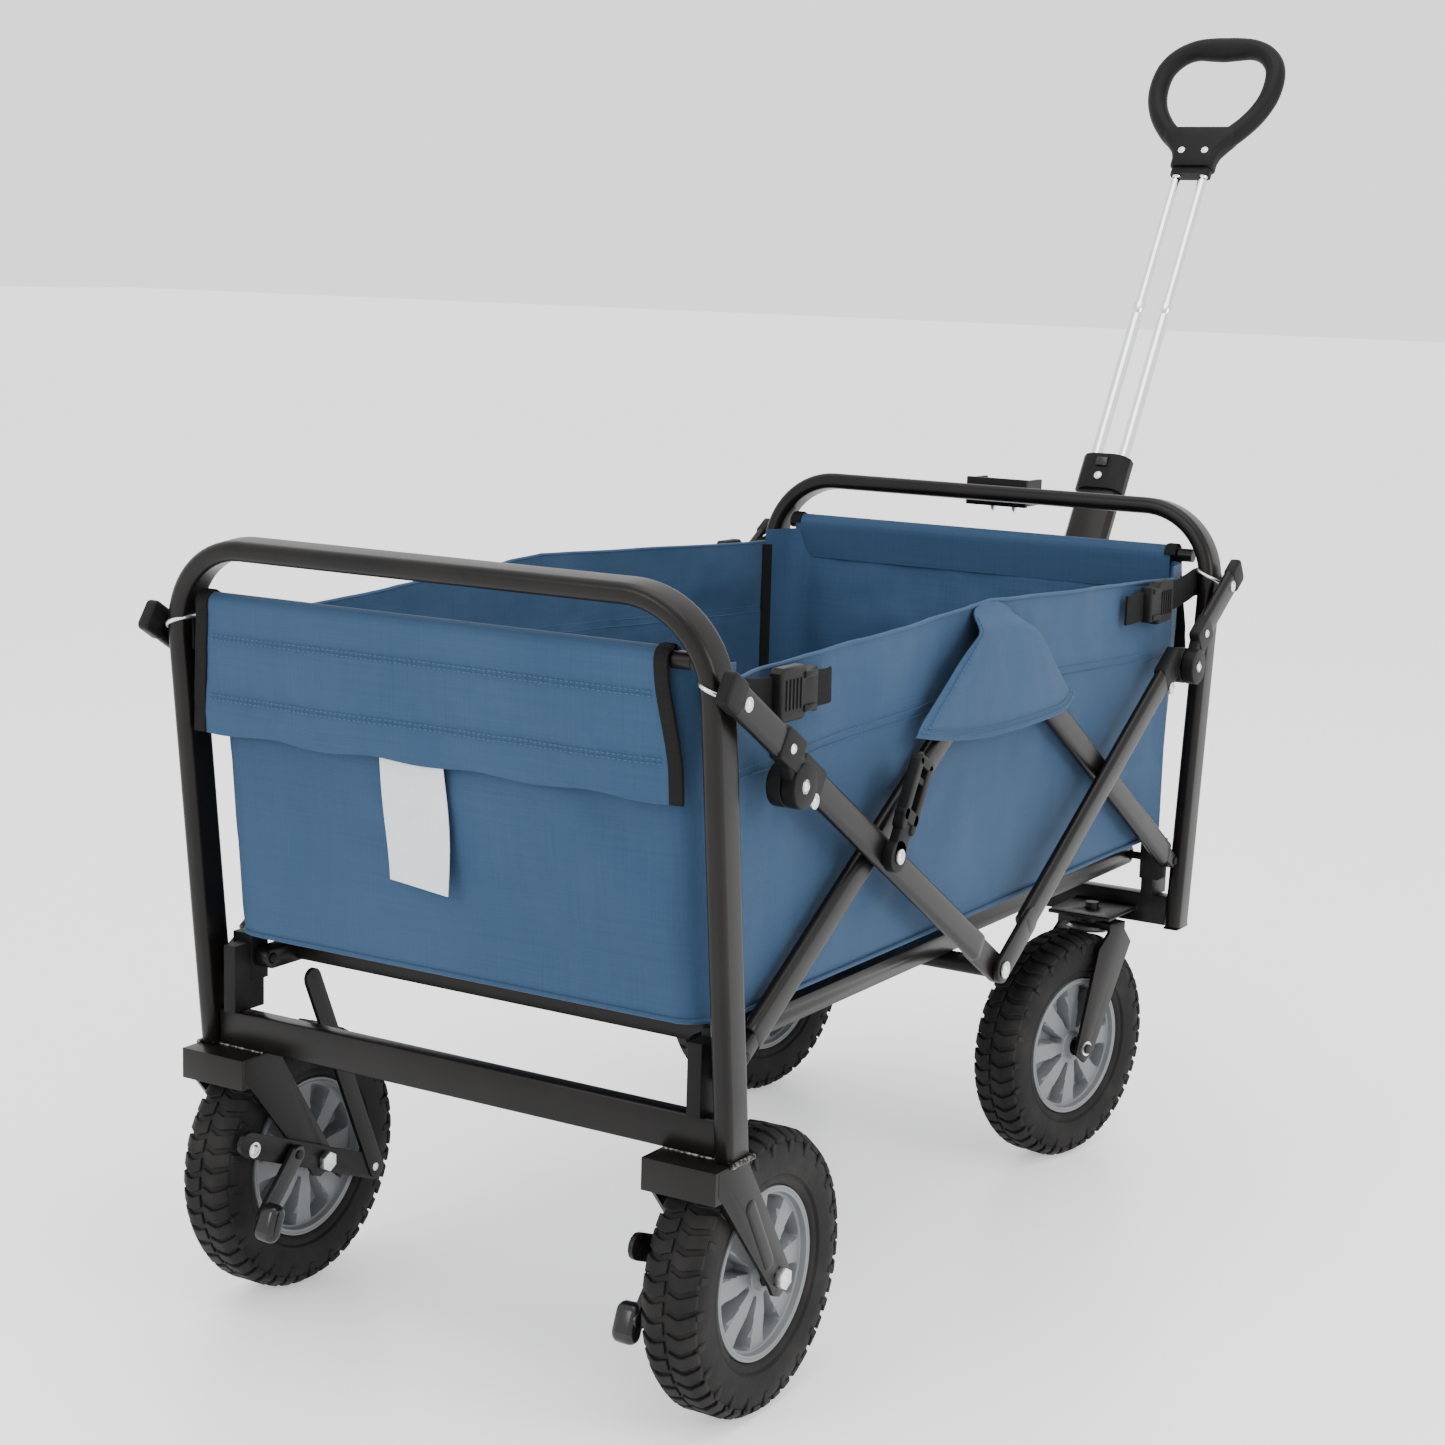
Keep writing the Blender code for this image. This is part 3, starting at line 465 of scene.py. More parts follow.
def lathe(profile, centre, axis="X", steps=48):
    """A closed (radius, along) profile turned about an axis through centre."""
    shape = bmesh.new()
    rings = []
    for i in range(steps):
        c, s = math.cos(math.tau * i / steps), math.sin(math.tau * i / steps)
        place = {"X": lambda r, a: (a, r * c, r * s), "Z": lambda r, a: (r * c, r * s, a)}[axis]
        rings.append([shape.verts.new(centre + Vector(place(r, a))) for r, a in profile])
    for i in range(steps):
        for j in range(len(profile)):
            shape.faces.new((rings[i - 1][j - 1], rings[i - 1][j], rings[i][j],
                             rings[i][j - 1]))
    bmesh.ops.recalc_face_normals(shape, faces=shape.faces)
    return shape


def joined(*shapes):
    """Several shapes as one."""
    whole = bmesh.new()
    for shape in shapes:
        carrier = bpy.data.meshes.new("carrier")
        shape.to_mesh(carrier)
        shape.free()
        whole.from_mesh(carrier)
        bpy.data.meshes.remove(carrier)
    return whole


print("oval corners", len(oval(0.029, 0.015)))

# %% [markdown]
# A piece isn't finished until it has a finish, a body to ride on, and the name of the model's
# nodes it stands for. `dress` does all of that in one call. `polished` is for the plates and
# brackets whose shape is right already: it copies the node, joins its loose triangles into clean
# faces and rounds the edges the way pressed sheet metal is rounded.

# %% Dressing a piece
TALLY = {"pieces": 0, "faces": 0}


def body_of(node):
    return nodes[node]["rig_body"]


def weave_map(mesh):
    """A UV map in metres: each face takes the two axes that it faces least."""
    layer = mesh.uv_layers[0] if mesh.uv_layers else mesh.uv_layers.new(name="weave")
    for face in mesh.polygons:
        n = [abs(c) for c in face.normal]
        drop = n.index(max(n))
        keep = [axis for axis in range(3) if axis != drop]
        for loop in face.loop_indices:
            co = mesh.vertices[mesh.loops[loop].vertex_index].co
            layer.data[loop].uv = (co[keep[0]], co[keep[1]])


def dress(name, shape, look, body, stands_for=(), crisp=38):
    """Makes a bmesh or a mesh into a finished piece."""
    if isinstance(shape, bmesh.types.BMesh):
        mesh = bpy.data.meshes.new(name)
        shape.to_mesh(mesh)
        shape.free()
    else:
        mesh = shape
    mesh.materials.clear()
    mesh.materials.append(look)
    if look in WOVEN:
        weave_map(mesh)
    mesh.shade_smooth()
    mesh.set_sharp_from_angle(angle=math.radians(crisp))
    made = bpy.data.objects.new(name, mesh)
    bpy.context.scene.collection.objects.link(made)
    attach(made, body)
    if stands_for:
        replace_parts(made, *stands_for)
    TALLY["pieces"] += 1
    TALLY["faces"] += len(mesh.polygons)
    return made


def polished(node, look, rounding=0.0009, sharper_than=35, segments=2):
    """A smooth-edged copy of a model node."""
    shape = bmesh.new()
    shape.from_mesh(nodes[node].data)
    bmesh.ops.remove_doubles(shape, verts=shape.verts, dist=0.00002)
    bmesh.ops.dissolve_limit(shape, angle_limit=math.radians(1), verts=shape.verts,
                             edges=shape.edges)
    soften(shape, rounding, sharper_than, segments)
    return dress(f"fine_{node}", shape, look, body_of(node), [node])


print("ready to dress", len(nodes), "nodes")

# %% [markdown]
# Screws, rivets, tread blocks and stitches repeat, so Geometry Nodes place them. Three small
# trees are enough: copies turned round an axle, heads set on points that aim along a stored
# direction, and stitches laid along a seam. Each ends in Realize Instances and Set Material, and
# the evaluated result is kept as a plain mesh.

# %% Trees that repeat things
def node_tree(name, inputs):
    """A geometry tree with its named inputs, wrapped as wires."""
    tree = bpy.data.node_groups.new(name, "GeometryNodeTree")
    tree.is_modifier = True
    tree.interface.new_socket(name="Geometry", in_out="INPUT",
                              socket_type="NodeSocketGeometry")
    for label, kind in inputs.items():
        tree.interface.new_socket(name=label, in_out="INPUT", socket_type="NodeSocket" + kind)
    tree.interface.new_socket(name="Geometry", in_out="OUTPUT",
                              socket_type="NodeSocketGeometry")
    entry = tree.nodes.new("NodeGroupInput")
    return tree, {label: Wire(tree, entry.outputs[label]) for label in ("Geometry", *inputs)}


def close_tree(tree, result, look):
    """Realizes the instances, sets the material and ends the tree."""
    real = result.node("GeometryNodeRealizeInstances", None, Geometry=result)
    painted = real.node("GeometryNodeSetMaterial", None, Geometry=real, Material=look)
    leave = tree.nodes.new("NodeGroupOutput")
    tree.links.new(painted.socket, leave.inputs["Geometry"])


def grown(tree, base, **values):
    """The plain mesh that a tree makes from a base mesh."""
    holder = bpy.data.objects.new("holder", base)
    bpy.context.scene.collection.objects.link(holder)
    modifier = holder.modifiers.new("tree", "NODES")
    modifier.node_group = tree
    for item in tree.interface.items_tree:
        label = item.name.replace(" ", "_").lower()
        if item.in_out == "INPUT" and label in values:
            modifier[item.identifier] = values[label]
    bpy.context.view_layer.update()
    evaluated = holder.evaluated_get(bpy.context.evaluated_depsgraph_get())
    mesh = bpy.data.meshes.new_from_object(evaluated)
    holder.modifiers.remove(modifier)
    bpy.data.objects.remove(holder)
    return mesh


def axle_ring_tree():
    """Copies of one block turned about an axle that runs across the wagon."""
    tree, given = node_tree("round_an_axle", {
        "Block": "Object", "Count": "Int", "Centre": "Vector", "Start": "Float",
        "Finish": "Material"})
    count = given["Count"]
    points = count.node("GeometryNodePoints", None, Count=count)
    index = count.node("GeometryNodeInputIndex")
    angle = index * math.tau * count.maths("DIVIDE", 1.0, count) + given["Start"]
    turn = count.node("ShaderNodeCombineXYZ", None, X=angle)
    block_shape = count.node("GeometryNodeObjectInfo", None, 4, Object=given["Block"])
    copies = count.node("GeometryNodeInstanceOnPoints", None, Points=points,
                        Instance=block_shape, Rotation=turn)
    moved = count.node("GeometryNodeTransform", None, Geometry=copies,
                       Translation=given["Centre"])
    close_tree(tree, moved, given["Finish"])
    return tree


def fastener_tree():
    """A domed head on a washer at each point, facing along the point's aim."""
    tree, given = node_tree("heads_on_points", {
        "Head Radius": "Float", "Dome Height": "Float", "Washer Radius": "Float",
        "Washer Height": "Float", "Finish": "Material"})
    wire = given["Geometry"]
    head = wire.node("GeometryNodeMeshUVSphere", None, Segments=14, Rings=8, Radius=1.0)
    squat = wire.node("ShaderNodeCombineXYZ", None, X=given["Head Radius"],
                      Y=given["Head Radius"], Z=given["Dome Height"])
    head = wire.node("GeometryNodeTransform", None, Geometry=head, Scale=squat)
    washer = wire.node("GeometryNodeMeshCylinder", None, Vertices=18,
                       Radius=given["Washer Radius"], Depth=given["Washer Height"])
    both = tree.nodes.new("GeometryNodeJoinGeometry")
    for shape in (head, washer):
        tree.links.new(shape.socket, both.inputs[0])
    aim = wire.node("GeometryNodeInputNamedAttribute", {"data_type": "FLOAT_VECTOR"},
                    Name="aim")
    turn = wire.node("FunctionNodeAlignRotationToVector", {"axis": "Z"}, Vector=aim)
    copies = wire.node("GeometryNodeInstanceOnPoints", None, Points=wire,
                       Instance=Wire(tree, both.outputs[0]), Rotation=turn)
    close_tree(tree, copies, given["Finish"])
    return tree


def stitch_tree():
    """Short threads laid end to end along every edge of a seam."""
    tree, given = node_tree("stitches", {
        "Spacing": "Float", "Thread": "Float", "Finish": "Material"})
    wire = given["Geometry"]
    seam = wire.node("GeometryNodeMeshToCurve", None, Mesh=wire)
    even = wire.node("GeometryNodeResampleCurve", {"mode": "LENGTH"}, Curve=seam,
                     Length=given["Spacing"])
    bead = wire.node("GeometryNodeMeshUVSphere", None, Segments=6, Rings=4, Radius=1.0)
    size = wire.node("ShaderNodeCombineXYZ", None, X=given["Spacing"] * 0.40,
                     Y=given["Thread"], Z=given["Thread"])
    bead = wire.node("GeometryNodeTransform", None, Geometry=bead, Scale=size)
    tangent = wire.node("GeometryNodeInputTangent")
    turn = wire.node("FunctionNodeAlignRotationToVector", {"axis": "X"}, Vector=tangent)
    copies = wire.node("GeometryNodeInstanceOnPoints", None, Points=even, Instance=bead,
                       Rotation=turn)
    close_tree(tree, copies, given["Finish"])
    return tree


AXLE_RING, HEADS, STITCHES = axle_ring_tree(), fastener_tree(), stitch_tree()
print("trees", [t.name for t in (AXLE_RING, HEADS, STITCHES)])

# %% [markdown]
# Rivets and screws are the bright dots that make the folding sides read as a mechanism. Their
# places are the joints of the model itself, so a list of points and directions per body is all
# that is needed.

# %% Heads of rivets and screws
def heads(name, spots, body, radius=0.0038, dome=0.0024, washer=0.0050, plate=0.0012,
          look=ZINC):
    """spots are (place, direction) pairs."""
    points = bpy.data.meshes.new("points")
    points.from_pydata([tuple(place) for place, _ in spots], [], [])
    aim = points.attributes.new("aim", "FLOAT_VECTOR", "POINT")
    for item, (_, direction) in zip(aim.data, spots):
        item.vector = direction
    mesh = grown(HEADS, points, head_radius=radius, dome_height=dome, washer_radius=washer,
                 washer_height=plate, finish=look)
    return dress(name, mesh, look, body)


def seam(name, lines, body, spacing=0.0042, thread=0.00055):
    """Stitches along lines of points; returns the piece."""
    verts, edges = [], []
    for line in lines:
        first = len(verts)
        verts += [tuple(p) for p in line]
        edges += [(first + i, first + i + 1) for i in range(len(line) - 1)]
    base = bpy.data.meshes.new("seam")
    base.from_pydata(verts, edges, [])
    mesh = grown(STITCHES, base, spacing=spacing, thread=thread, finish=THREAD)
    return dress(name, mesh, THREAD, body)


JOINTS = {j["name"]: Vector(j["pos_m"]) for j in frame["joints"] if "pos_m" in j}

# %% [markdown]
# Each end frame is one bent tube: an upside-down U that leans outward as it rises. Its lean is
# read from where the model holds the crossbar and the fabric rod. A sweep of a round-cornered
# outline, with sixteen steps in each bend, gives the long unbroken highlights of real tube.

# %% End hoops
TUBE_DEEP, TUBE_THIN, BEND = 0.0275, 0.0148, 0.065


def centre_of(node):
    first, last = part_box(node)
    return (first + last) / 2


bar_mid, rod_mid = centre_of("rear_crossbar"), centre_of("rear_fabric_rod")
LEAN = (rod_mid.y - bar_mid.y) / (rod_mid.z - bar_mid.z)
POST_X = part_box("rear_crossbar")[1].x + 0.0079
HOOP_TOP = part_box("rear_hoop")[1].z - 0.0080


def post_y(z):
    """How far a post's centre stands from the middle plane at a height."""
    return bar_mid.y - MID + LEAN * (z - bar_mid.z)


def hoop(name, end):
    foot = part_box(name)[0].z + 0.0008
    slope = math.sqrt(1 + LEAN ** 2)
    bend_z = HOOP_TOP - BEND / slope
    arc = [math.pi / 2 * i / 16 for i in range(17)]
    legs = [foot + (bend_z - foot) * i / 8 for i in range(8)]
    half = [at(-POST_X, end * post_y(z), z) for z in legs]
    half += [at(-POST_X + BEND * (1 - math.cos(a)), end * post_y(bend_z + BEND * math.sin(a)
                                                                   / slope),
                bend_z + BEND * math.sin(a) / slope) for a in arc]
    mirrored = [Vector((-p.x, p.y, p.z)) for p in reversed(half)]
    outline = [(-v, u) for u, v in soft_box(TUBE_DEEP, TUBE_THIN, 0.0058)]
    shape = sweep(half + mirrored, outline, (0, end, -LEAN))
    return dress(f"tube_{name}", soften(shape, 0.0006, 60), COAT,
                 body_of(name), [name])


for end_name, end in ENDS.items():
    hoop(f"{end_name}_hoop", end)
    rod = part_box(f"{end_name}_fabric_rod")
    middle = centre_of(f"{end_name}_fabric_rod")
    line = [Vector((rod[0].x + (rod[1].x - rod[0].x) * i / 4, middle.y, middle.z))
            for i in range(5)]
    dress(f"bare_{end_name}_fabric_rod", sweep(line, ring(0.006, 18), (0, 0, 1)), COAT,
          body_of(f"{end_name}_fabric_rod"), [f"{end_name}_fabric_rod"])
polished("rear_crossbar", COAT, 0.0014)
polished("front_crossbar", COAT, 0.0010)
print("post lean", round(LEAN, 4), "posts at x", round(POST_X, 4))

# %% [markdown]
# The folding sides are flat-oval bars that cross like scissors. At the centre joints each bar is
# pressed flat and laps the other, and at the knee a moulded knuckle joins bar and link. The bars
# are swept tubes between the model's joints; the knuckles, tips and collars are rounded slabs.

# %% Folding side bars
BAR_DEEP = 0.023
BAR_X = {"long": (0.2165, 0.2275), "short": (0.2280, 0.2385), "link": (0.2390, 0.2485)}
FLAT_END = 0.0475                   # where a bar stops short of a centre joint
low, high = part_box("rear_knee_link_right")
KNEE = (low.y - MID + 0.0105, low.z + 0.0105)
BOLT = (JOINTS["rear_link_pivot"].y - MID, JOINTS["rear_link_pivot"].z)
FOOT = (JOINTS["fold"].y - MID, JOINTS["fold"].z)
TOP = (0.0, JOINTS["top_centre_pivot"].z)
BOTTOM = (0.0, JOINTS["centre_tube_pivot"].z)
CROSS = (JOINTS["rear_crossing_pivot"].y - MID, JOINTS["rear_crossing_pivot"].z)


def towards(start, end, distance):
    share = distance / math.dist(start, end)
    return tuple(s + (e - s) * share for s, e in zip(start, end))


def side_bar(start, end, side, layer, way):
    """A flat-oval tube in one of the side's layers; way is +1 at the rear."""
    x0, x1 = BAR_X[layer]
    middle = side * (x0 + x1) / 2
    line = [at(middle, way * (start[0] + (end[0] - start[0]) * t),
               start[1] + (end[1] - start[1]) * t) for t in (0, 0.02, 0.5, 0.98, 1)]
    outline = oval(BAR_DEEP, x1 - x0 - 0.0004, 7)
    return soften(sweep(line, outline, (1, 0, 0)), 0.0008, 60)


def mirrored_outline(outline, way):
    return [(way * y, z) for y, z in outline]


def long_bar(node, side, way, outer):
    x0, x1 = BAR_X["long"]
    middle = (x0 + x1) / 2
    layer = (middle + 0.0002, x1 - 0.0003) if outer else (x0 + 0.0003, middle - 0.0002)
    tongue = slab(mirrored_outline(capsule(towards(TOP, FOOT, 0.056), TOP, 0.0110), way),
                  side * layer[0], side * layer[1])
    foot = slab(mirrored_outline(capsule(FOOT, towards(FOOT, TOP, 0.03), 0.0066), way),
                side * (x0 + 0.0004), side * (x1 - 0.0004), 0.0018, 3)
    bar = side_bar(towards(FOOT, TOP, 0.016), towards(TOP, FOOT, FLAT_END), side, "long", way)
    return dress(f"bar_{node}", joined(bar, tongue, foot), COAT,
                 body_of(node), [node])


def short_bar(node, side, way, outer):
    x0, x1 = BAR_X["short"]
    middle = (x0 + x1) / 2
    layer = (middle + 0.0002, x1 - 0.0003) if outer else (x0 + 0.0003, middle - 0.0002)
    high_end = towards(BOTTOM, CROSS, math.dist(BOTTOM, CROSS) * 1.62)
    tongue = slab(mirrored_outline(capsule(towards(BOTTOM, CROSS, 0.056), BOTTOM, 0.0110),
                                   way), side * layer[0], side * layer[1])
    bar = side_bar(towards(BOTTOM, CROSS, FLAT_END), high_end, side, "short", way)
    return dress(f"bar_{node}", joined(bar, tongue), COAT, body_of(node),
                 [node])


def knuckles(node_side, side, way, short_body, link_body):
    """The moulded knuckle halves at the knee, on the bar and on the link."""
    x0, x1 = BAR_X["short"]
    high_end = towards(BOTTOM, CROSS, math.dist(BOTTOM, CROSS) * 1.62)
    disc = capsule(KNEE, (KNEE[0] + 0.0001, KNEE[1]), 0.0155, 18)
    lower = bar_end(towards(high_end, BOTTOM, 0.026), towards(high_end, BOTTOM, -0.004),
                    0.0119, 0.0040)
    edges = side * (x0 - 0.0002), side * (x1 + 0.0002)
    knuckle = joined(slab(mirrored_outline(lower, way), *edges, 0.0014, 3),
                     slab(mirrored_outline(disc, way), *edges, 0.0020, 3))
    dress(f"knuckle_{node_side}", knuckle, PLASTIC, short_body)
    x0, x1 = BAR_X["link"]
    inner = (BOLT[0] - 0.060, BOLT[1] - 0.060 * math.tan(ARM_RISE))
    upper = bar_end(towards(inner, BOLT, 0.013), towards(inner, BOLT, -0.010), 0.0119, 0.0035)
    neck = capsule(inner, KNEE, 0.0100)
    x0, x1 = side * (x0 + 0.0004), side * (x1 + 0.0008)
    cap = joined(slab(mirrored_outline(upper, way), x0, x1, 0.0014, 3),
                 slab(mirrored_outline(neck, way), x0, x1 - side * 0.0010, 0.0014, 3),
                 slab(mirrored_outline(disc, way), x0, x1 + side * 0.0008, 0.0022, 3))
    dress(f"knee_cap_{node_side}", cap, PLASTIC, link_body)


ARM_RISE = math.atan2(TOP[1] - FOOT[1], FOOT[0])


def bar_end(start, end, half, r):
    """The outline of a square-ended plug with rounded corners, in (y, z)."""
    length = math.dist(start, end)
    along = ((end[0] - start[0]) / length, (end[1] - start[1]) / length)
    return [(start[0] + along[0] * (u + length / 2) - along[1] * v,
             start[1] + along[1] * (u + length / 2) + along[0] * v)
            for u, v in soft_box(length + 0.006, 2 * half, r)]


def link_bar(node, side, way):
    x0, x1 = BAR_X["link"]
    inner = (BOLT[0] - 0.060, BOLT[1] - 0.060 * math.tan(ARM_RISE))
    outer = (BOLT[0] + 0.010, BOLT[1] + 0.010 * math.tan(ARM_RISE))
    bar = side_bar(inner, outer, side, "link", way)
    dress(f"bar_{node}", bar, COAT, body_of(node), [node])
    tip_end = (BOLT[0] + 0.0200, BOLT[1] + 0.0200 * math.tan(ARM_RISE))
    inward = (BOLT[0] + 0.006, BOLT[1] + 0.006 * math.tan(ARM_RISE))
    tip = bar_end(inward, tip_end, 0.0118, 0.0045)
    dress(f"tip_{node}", slab(mirrored_outline(tip, way), side * (x0 + 0.0002),
                              side * (x1 + 0.0004), 0.0024, 3), PLASTIC,
          body_of(node))


for side_name, side in SIDES.items():
    for end_name, way in ENDS.items():
        tail = f"{end_name}_{side_name}"
        outer = end_name == "front"
        arms = {kind: f"{end_name}_{kind}_{side_name}"
                for kind in ("long_arm", "short_arm", "knee_link")}
        long_bar(arms["long_arm"], side, way, outer)
        short_bar(arms["short_arm"], side, way, outer)
        link_bar(arms["knee_link"], side, way)
        knuckles(tail, side, way, body_of(arms["short_arm"]), body_of(arms["knee_link"]))
        out = (side, 0, 0)
        face = {kind: side * (edges[1]) for kind, edges in BAR_X.items()}
        rivet2 = towards(BOLT, (BOLT[0] - 1, BOLT[1] - math.tan(ARM_RISE)), 0.068)
        heads(f"rivets_link_{tail}", [
            (at(face["link"], way * BOLT[0], BOLT[1]), out),
            (at(face["link"], way * rivet2[0], rivet2[1]), out),
            (at(face["link"] + side * 0.001, way * KNEE[0], KNEE[1]), out)],
            body_of(arms["knee_link"]))
        lower_rivet = towards(KNEE, CROSS, 0.036)
        heads(f"rivets_short_{tail}", [
            (at(face["short"] + side * 0.0002, way * lower_rivet[0], lower_rivet[1]), out),
            (at(face["short"] - side * (0 if outer else 0.0052), 0, BOTTOM[1]), out)],
            body_of(arms["short_arm"]), 0.0040, 0.0022, 0.0054)
print("side bars for", list(SIDES), "and", list(ENDS), "arm angle",
      round(math.degrees(ARM_RISE), 2))

# %% [markdown]
# The bag is sewn from flat panels, so each panel here is a grid of points on a smooth surface
# that is then given a cloth's thickness. Gentle noise along the normal makes the slack of real
# canvas. Side panels fold up like a curtain when the wagon closes; here they, like the end
# panels, only travel with their bodies. Every panel's size is measured along its own finished
# grid and kept in a list, since the cut size of the real cloth isn't known.

# %% Sewn panels
CLOTH = 0.0013


def length_of(line):
    return sum((b - a).length for a, b in zip(line, line[1:]))


def grid(place, across, down):
    """Rows of points of a surface given by u and v from 0 to 1."""
    return [[place(i / across, j / down) for i in range(across + 1)]
            for j in range(down + 1)]


def panel(name, rows, look, body, stands_for=(),
          fold_end=None, thickness=CLOTH):
    """Sews a grid of points into a sheet of cloth."""
    shape = bmesh.new()
    verts = [[shape.verts.new(p) for p in row] for row in rows]
    for j in range(len(rows) - 1):
        for i in range(len(rows[0]) - 1):
            shape.faces.new((verts[j][i], verts[j][i + 1], verts[j + 1][i + 1],
                             verts[j + 1][i]))
    bmesh.ops.recalc_face_normals(shape, faces=shape.faces)
    area = sum(face.calc_area() for face in shape.faces)
    wide = max(length_of(row) for row in rows)
    long = max(length_of([row[i] for row in rows]) for i in range(len(rows[0])))
    bmesh.ops.solidify(shape, geom=shape.faces, thickness=thickness)
    bmesh.ops.recalc_face_normals(shape, faces=shape.faces)
    made = dress(name, shape, look, body, stands_for, 60)
    if fold_end:
        squashed(made, fold_end)
    PANELS.append((name, round(wide, 3), round(long, 3), round(area, 4)))
    return made


def squashed(piece, end):
    """Gives a piece its own copy of its mesh."""
    at(0, end * FOOT[0], 0)
    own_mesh(piece)


def slack(point, depth, scale, seed):
    """The soft in-and-out of cloth at a place."""
    spot = Vector((point.x, point.y, point.z)) * scale + Vector((seed, 0, 0))
    return depth * noise.fractal(spot, 0.9, 2.0, 3)


def ease(value, start, end):
    t = min(max((value - start) / (end - start), 0), 1)
    return t * t * (3 - 2 * t)


PANELS = []
WALL_LOW, WALL_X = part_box("bag_rear_wall")[0].z, 0.2105
LIP = [(0.0078, 0.0010), (0.0050, 0.0004), (0.0024, 0.0018), (0.0006, 0.0050), (0, 0.0105)]

# %% [markdown]
# An end wall hangs between the posts and turns each corner just inside them. Its plan is a short
# list of corners, walked by length; its lower edge rolls under into the bottom seam.

# %% End walls
def wall_plan(t, depth):
    """A point and outward direction of the wall's plan, t from -1 to 1 across the wagon."""
    way = 1 if t >= 0 else -1
    corners = [(0, depth), (0.184, depth), (0.196, depth - 0.0045), (0.2040, depth - 0.0150),
               (WALL_X, FOOT[0])]
    lengths = [math.dist(a, b) for a, b in zip(corners, corners[1:])]
    rest = abs(t) * sum(lengths)
    for (a, b), length in zip(zip(corners, corners[1:]), lengths):
        if rest <= length or b == corners[-1]:
            share = min(rest / length, 1)
            x, y = (p + (q - p) * share for p, q in zip(a, b))
            along = Vector((b[0] - a[0], b[1] - a[1])).normalized()
            return way * x, y, way * -along.y, along.x
        rest -= length


def rolled_edge(row, rows, top):
    """How far in, and how high, a wall stands at a row counted up from its rolled edge."""
    steps = len(LIP)
    if row < steps - 1:
        k = int(row)
        share = row - k
        return (LIP[k][0] + (LIP[k + 1][0] - LIP[k][0]) * share,
                WALL_LOW + LIP[k][1] + (LIP[k + 1][1] - LIP[k][1]) * share)
    return 0, WALL_LOW + LIP[-1][1] + (top - WALL_LOW - LIP[-1][1]) * (
        (row - steps + 1) / (rows - steps + 1))


END_ROWS, END_TOP = 40, 0.532


def end_wall(name, end):
    def place(u, v):
        inset, z = rolled_edge(v * END_ROWS, END_ROWS, END_TOP)
        x, y, nx, ny = wall_plan(2 * u - 1, post_y(z) + 0.0004)
        spot = at(x, end * y, z)
        free = ease(z, WALL_LOW, WALL_LOW + 0.05) * (1 - ease(z, 0.47, 0.53))
        free *= 1 - ease(abs(x), 0.16, 0.2)
        swell = slack(spot, 0.0042, 9, end * 3) + slack(spot, 0.0012, 34, 7)
        out = swell * free - inset
        return at(x + nx * out, end * (y + ny * out), z)

    return panel(f"canvas_{name}", grid(place, 88, END_ROWS), CANVAS, body_of(name),
                 [name])


for end_name, end in ENDS.items():
    end_wall(f"bag_{end_name}_wall", end)
print("end walls", PANELS[-2:])

# %% [markdown]
# The top of each end wall is a flap that goes over the fabric rod and hangs outside, with a
# black binding folded over its side edges and two rows of double stitching. The flap is the same
# kind of grid, walked over the rod in an arc; the binding follows its edges.

# %% Rod flaps
ROD_Z, ROD_Y = rod_mid.z, rod_mid.y - MID
FLAP_LOW, FLAP_ROWS = 0.4438, 44
WRAP = 0.0082


def flap_point(end, x, v):
    """v runs up inside the rod, over it, to the flap's lower edge."""
    rise, arc = 0.16, 0.32
    if v < rise:
        share = v / rise
        return at(x, end * (ROD_Y - WRAP + 0.0030 * (1 - share)), ROD_Z - 0.033 * (1 - share))
    if v < arc:
        angle = math.pi * (v - rise) / (arc - rise)
        return at(x, end * (ROD_Y - WRAP * math.cos(angle)), ROD_Z + WRAP * math.sin(angle))
    share = (v - arc) / (1 - arc)
    z = ROD_Z - (ROD_Z - FLAP_LOW) * share
    hang = post_y(z) + 0.0082 + 0.0035 * share
    return at(x, end * (hang + 0.0012 * math.sin(3.2 * math.pi * (x + 0.2) / 0.4) * share), z)


def flap_edges(v):
    """Half widths of the flap on the right and on the left."""
    drop = ease(v, 0.32, 1)
    return -0.1890 - 0.0110 * drop, 0.2010 + 0.0090 * drop


def flap(end_name, end):
    def place(u, v):
        first, last = flap_edges(v)
        x = first + (last - first) * u
        spot = flap_point(end, x, v)
        loose = ease(v, 0.35, 0.7) * 0.0030
        puff = slack(spot, loose, 15, 4) + slack(spot, loose * 0.35, 50, 9)
        return spot + Vector((0, end * puff, -0.002 * ease(v, 0.8, 1)
                              * math.sin(9 * math.pi * u) * 0.6))

    rows = grid(place, 72, FLAP_ROWS)
    panel(f"canvas_{end_name}_flap", rows, CANVAS, f"{end_name}_frame")
    for side_name, column in (("right", 0), ("left", -1)):
        edge = [row[column] for row in rows[7:]]
        tape = sweep(edge, soft_box(0.0110, 0.0034, 0.0012, 2), (0, end, 0.1))
        dress(f"binding_{end_name}_{side_name}", tape, TAPE,
              f"{end_name}_frame")
    lines = []
    for v in (0.475, 0.50, 0.795, 0.82):
        row = rows[round(v * FLAP_ROWS)]
        lines.append([p + Vector((0, end * 0.0011, 0)) for p in row[2:-2]])
    seam(f"flap_stitches_{end_name}", lines, f"{end_name}_frame")


for end_name, end in ENDS.items():
    flap(end_name, end)
print("flaps", PANELS[-2:])

# %% [markdown]
# A side wall reaches from the corner to the fold's middle, where its twin begins. Its upper edge
# climbs to the middle joint. It is drawn inward a little where the strap and buckle lie on it,
# hangs slack between the bars, and rolls under at the bottom like the ends.

# %% Side walls
PEAK, TOP_END = 0.5375, 0.5210
SIDE_ROWS, SIDE_COLUMNS = 36, 48


def side_top(y):
    return PEAK - (PEAK - TOP_END) * min(abs(y) / FOOT[0], 1) ** 0.9


